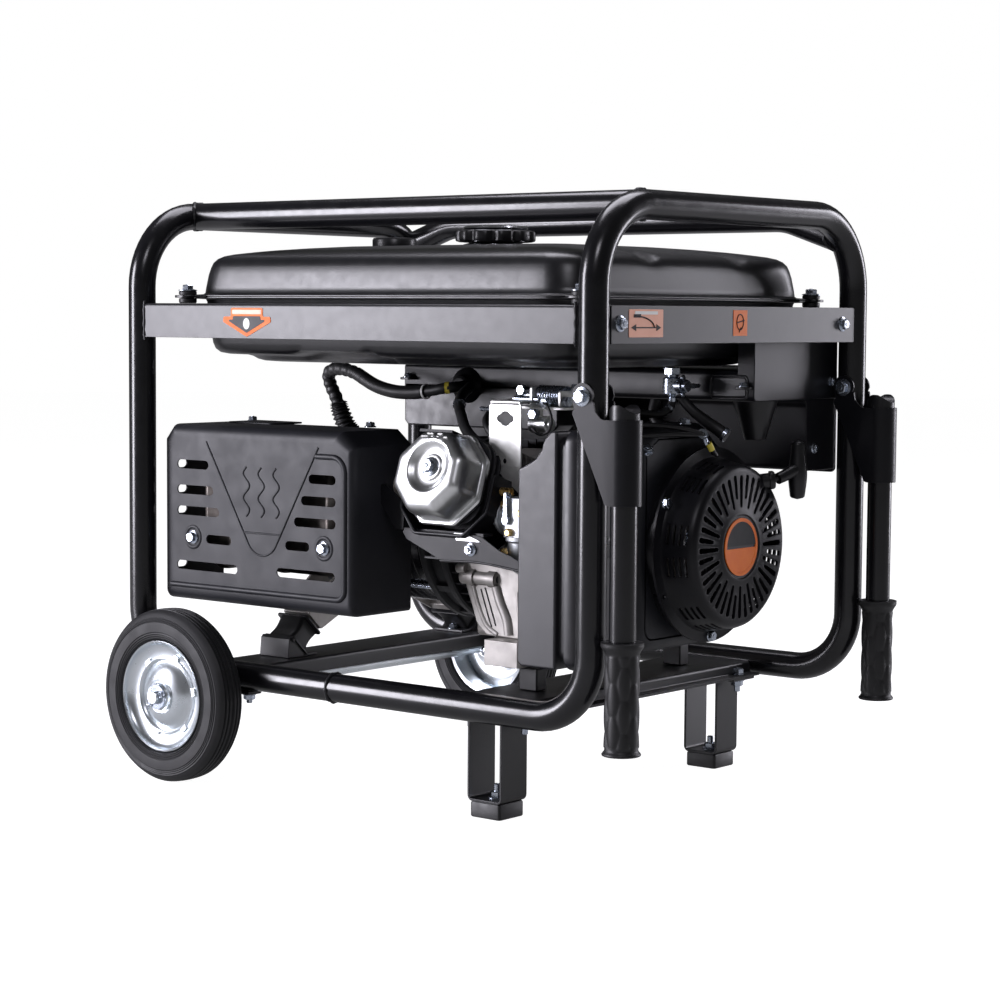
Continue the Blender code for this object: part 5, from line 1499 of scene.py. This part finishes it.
def wiring():
    loom = smooth_route([(-258, 32, 391), (-263, 25, 404), (-269, 20, 424), (-275, 18, 441),
        (-281, 15, 456), (-279, 10, 470), (-262, 5, 476), (-240, 2, 475), (-220, 0, 470),
        (-206, 0, 463)], 30)
    add("loom_conduit", sweep(loom, lambda i: 8.0 + 0.5 * math.sin(i * 0.37), 24), "black_rubber",
        stands_for=["wiring_loom"], smooth=70)
    bellows = smooth_route([(-258, 32, 392), (-263, 25, 404), (-269, 20, 424), (-271, 19, 434)],
        40)
    add("loom_bellows", sweep(bellows, lambda i: 12.4 - 0.02 * i + 1.3 * math.sin(i * 0.62), 28),
        "black_rubber", smooth=70)
    sleeve = smooth_route([(-222, 0, 471), (-191, 0, 457), (-161, 0, 450.5), (-132, 0, 449.7),
        (-104, 0, 452), (-80, 2, 456), (-68, 14, 458), (-76, 42, 459), (-96, 70, 458)], 12)
    add("loom_sleeve", sweep(sleeve, lambda i: 8.4 if i < 46 else 6.6, 24), "black_rubber",
        smooth=60)
    add("loom_grommet", spun([(0, 0), (21, 0), (22, 2), (20, 6), (14, 12), (12, 22), (9, 24),
        (0, 24)], (-101, 71.2, 458), (0.2, -1, 0), 48), "black_rubber")
    tie = spun([(8.2, -1.3), (9.4, -1.3), (9.4, 1.3), (8.2, 1.3)], (-108, 0, 451.6),
        (1, 0.0, 0.07), 32)
    add("loom_tie", tie, "label_white")
    patch = spun([(6.4, -2.6), (7.3, -2.6), (7.3, 2.6), (6.4, 2.6)], (-77, 4, 456.6),
        (1, 0.6, 0.1), 32)
    add("loom_mark", patch, "wire_yellow")
    lead = smooth_route([(60, 30, 440), (62, -20, 446), (68, -70, 442), (80, -110, 430),
        (98, -130, 418), (118, -134, 404)], 14)
    add("ignition_wire", sweep(lead, 4.0, 20), "black_rubber", stands_for=["ignition_lead"],
        smooth=60)
    boot = spun([(0, 0), (8.5, 0), (9, 4), (8.4, 18), (6.4, 22), (5.6, 30), (4.6, 32), (0, 32)],
        (121, -135, 398), (-0.35, 0.1, 0.75), 32)
    add("ignition_boot", boot, "black_rubber")
    thick = smooth_route([(-58, 24, 458), (-38, -14, 450), (-20.7, -40, 442), (2, -66, 435),
        (25, -90, 429), (65, -130, 417), (93, -148, 406), (110, -152, 399), (122, -146, 394)], 14)
    add("thick_lead", sweep(thick, 6.2, 20), "black_rubber", smooth=60)
    clip = spun([(6.2, -3), (7.6, -3), (7.6, 3), (6.2, 3)], (-12, -50, 439.4), (0.6, -0.7, -0.2),
        28)
    add("thick_lead_clip", clip, "bolt_zinc")
    hose = smooth_route([(232, 37, 448), (231, 33, 441), (226, 18, 434), (214, -10, 436),
        (203, -40, 437), (191, -72, 428), (182, -98, 404), (176, -116, 375), (172, -124, 350)], 14)
    add("fuel_pipe", sweep(hose, 4.5, 20), "black_rubber", stands_for=["fuel_hose"], smooth=60)
    clamps = [spun([(4.5, -1.6), (5.7, -1.6), (5.7, 1.6), (4.5, 1.6)], p, d,
        28) for p, d in (((230.6, 32, 440.4), (0.2, 0.7, 0.7)), ((173.4, -121.6, 357),
        (0.1, 0.2, -1)))]
    add("fuel_pipe_clamps", clamps, "bolt_zinc")
    vent = smooth_route([(240, 44, 452), (250, 48, 440), (266, 52, 428), (282, 57, 417),
        (292, 60, 410)], 10)
    add("vent_hose", sweep(vent, lambda i: 5.4 + 1.8 * min(1.0, i / 30), 20), "black_rubber",
        smooth=60)
    add("vent_hose_clip", spun([(7.0, -2), (8.4, -2), (8.4, 2), (7.0, 2)], (290, 59.4, 411.4),
        (0.8, 0.25, -0.5), 28), "bolt_zinc")
    short = smooth_route([(214, 30, 449), (214, 26, 436), (222, 22, 424), (236, 20, 416)], 8)
    cables = [sweep(short, 6.4, 16)]
    for dy, dz in ((0, 0), (-9, -13)):
        route = smooth_route([(214, -74 + dy, 417 + dz), (246, -46 + dy, 424 + dz),
            (276, -20 + dy, 422 + dz * 0.6), (297, 2, 415 + dz * 0.1)], 10)
        cables.append(sweep(route, 3.0, 14))
    cables.append(sweep(smooth_route([(297, 2, 415), (303, 10, 402), (304, 22, 390)], 8), 2.2, 12))
    add("small_cables", cables, "black_rubber", smooth=60)
    tag = merged(spun([(2.4, 0), (6.4, 0), (6.4, 1.4), (2.4, 1.4)], (298, 3, 414),
        (0.8, -0.5, 0.5), 24), spun([(0, 0), (3, 0), (3.2, 6), (2.4, 10), (0, 10)], (299, 4, 412),
        (0.2, 0.2, -1), 20))
    add("cable_terminal", tag, "bolt_zinc")
    add("cable_sleeve", spun([(2.2, 0), (3.6, 0), (3.6, 9), (2.2, 9)], (302.4, 9, 404),
        (0.15, 0.5, -0.85), 20), "wire_yellow")


# ---------------------------------------------------------------------- labels

def labels():
    """Plain coloured stickers without lettering, where the photo shows printed ones."""
    def near(points, low, high):
        return prism(flipped(points), "y", low, high)
    shield = [(-176, 551), (-125, 551), (-125, 541), (-113, 541), (-112, 535), (-150.5, 518),
        (-189, 535), (-188, 541), (-176, 541)]
    inner = [(-172.5, 541.5), (-128.5, 541.5), (-128.5, 537.5), (-118, 537.5), (-150.5, 522.5),
        (-183, 537.5), (-172.5, 537.5)]
    band = [(-173.5, 548.8), (-127.5, 548.8), (-127.5, 543.8), (-173.5, 543.8)]
    add("arrow_label", near(rounded(shield, 2.0, 4), -262.5, -261.9), "label_orange")
    add("arrow_label_inner", near(rounded(inner, 1.2, 3), -262.8, -262.3), "guard_paint")
    add("arrow_label_band", near(rounded(band, 1.0, 3), -262.8, -262.3), "label_peach")
    add("arrow_label_dot", near([(-150.5 + 5 * math.cos(t),
        533 + 6.4 * math.sin(t)) for t in turns(32)], -263.1, -262.6), "label_white")
    square = rectangle(-206, 523, -146, 552, 1.0, 3)
    add("peach_label", prism(square, "x", 348.9, 349.4), "label_peach")
    stripe = rectangle(-196, 546.6, -156, 550, 0.8, 3)
    add("peach_label_band", prism(stripe, "x", 349.2, 349.7), "label_white")
    swing = [Vector((349.5, -196 + 34 * math.sin(t),
        545 - 12 * (1 - math.cos(t)))) for t in (k * math.pi / 2 / 20 for k in range(21))]
    dark = [sweep(swing, 0.8, 8), prism([(-198, 543.4), (-186, 543.4), (-186, 547), (-198, 547)],
        "x", 349.2, 349.9), prism([(-196, 532.4), (-156, 532.4), (-156, 533.6), (-196, 533.6)],
        "x", 349.2, 349.9)]
    for y, way in ((-202, 1), (-150, -1)):
        dark.append(prism([(y, 533), (y + way * 8, 536.4), (y + way * 8, 529.6)], "x", 349.2,
            349.8))
    add("peach_label_marks", dark, "label_black")
    small = rectangle(-15, 524, 12, 552, 0.8, 3)
    add("orange_label", prism(small, "x", 348.9, 349.4), "label_orange")
    loop = [Vector((349.5, -2 + 6.5 * math.cos(t), 539 + 8.5 * math.sin(t))) for t in turns(24)]
    add("orange_label_marks", merged(sweep(loop, 0.55, 8, True),
        sweep([Vector((349.5, -9, 538)), Vector((349.5, 6, 541))], 0.6, 8),
        sweep([Vector((349.5, -4, 528)), Vector((349.5, 0, 533))], 0.6, 8)), "label_black")
    bolts = [bolt((349, y, 537), (1, 0, 0), 11, 8.5) for y in (-221, 210)]
    bolts += [bolt((-349, y, 537), (-1, 0, 0), 11, 8.5) for y in (-221, 221)]
    add("end_rail_bolts", bolts, "bolt_zinc")


# ----------------------------------------------------------------------- build

MAT = make_materials()
for build in (frame_tubes, frame_rails, feet, wheels, handles, tank, tank_fittings, valve_cover,
        engine_block, cylinder_head, shroud, control_bracket, carburettor, air_cleaner, blower,
        recoil, starter_grip, rotating_parts, guard, muffler, alternator, isolators, control_box,
        control_panel, wiring, labels):
    build()
camera()
studio()
floor()
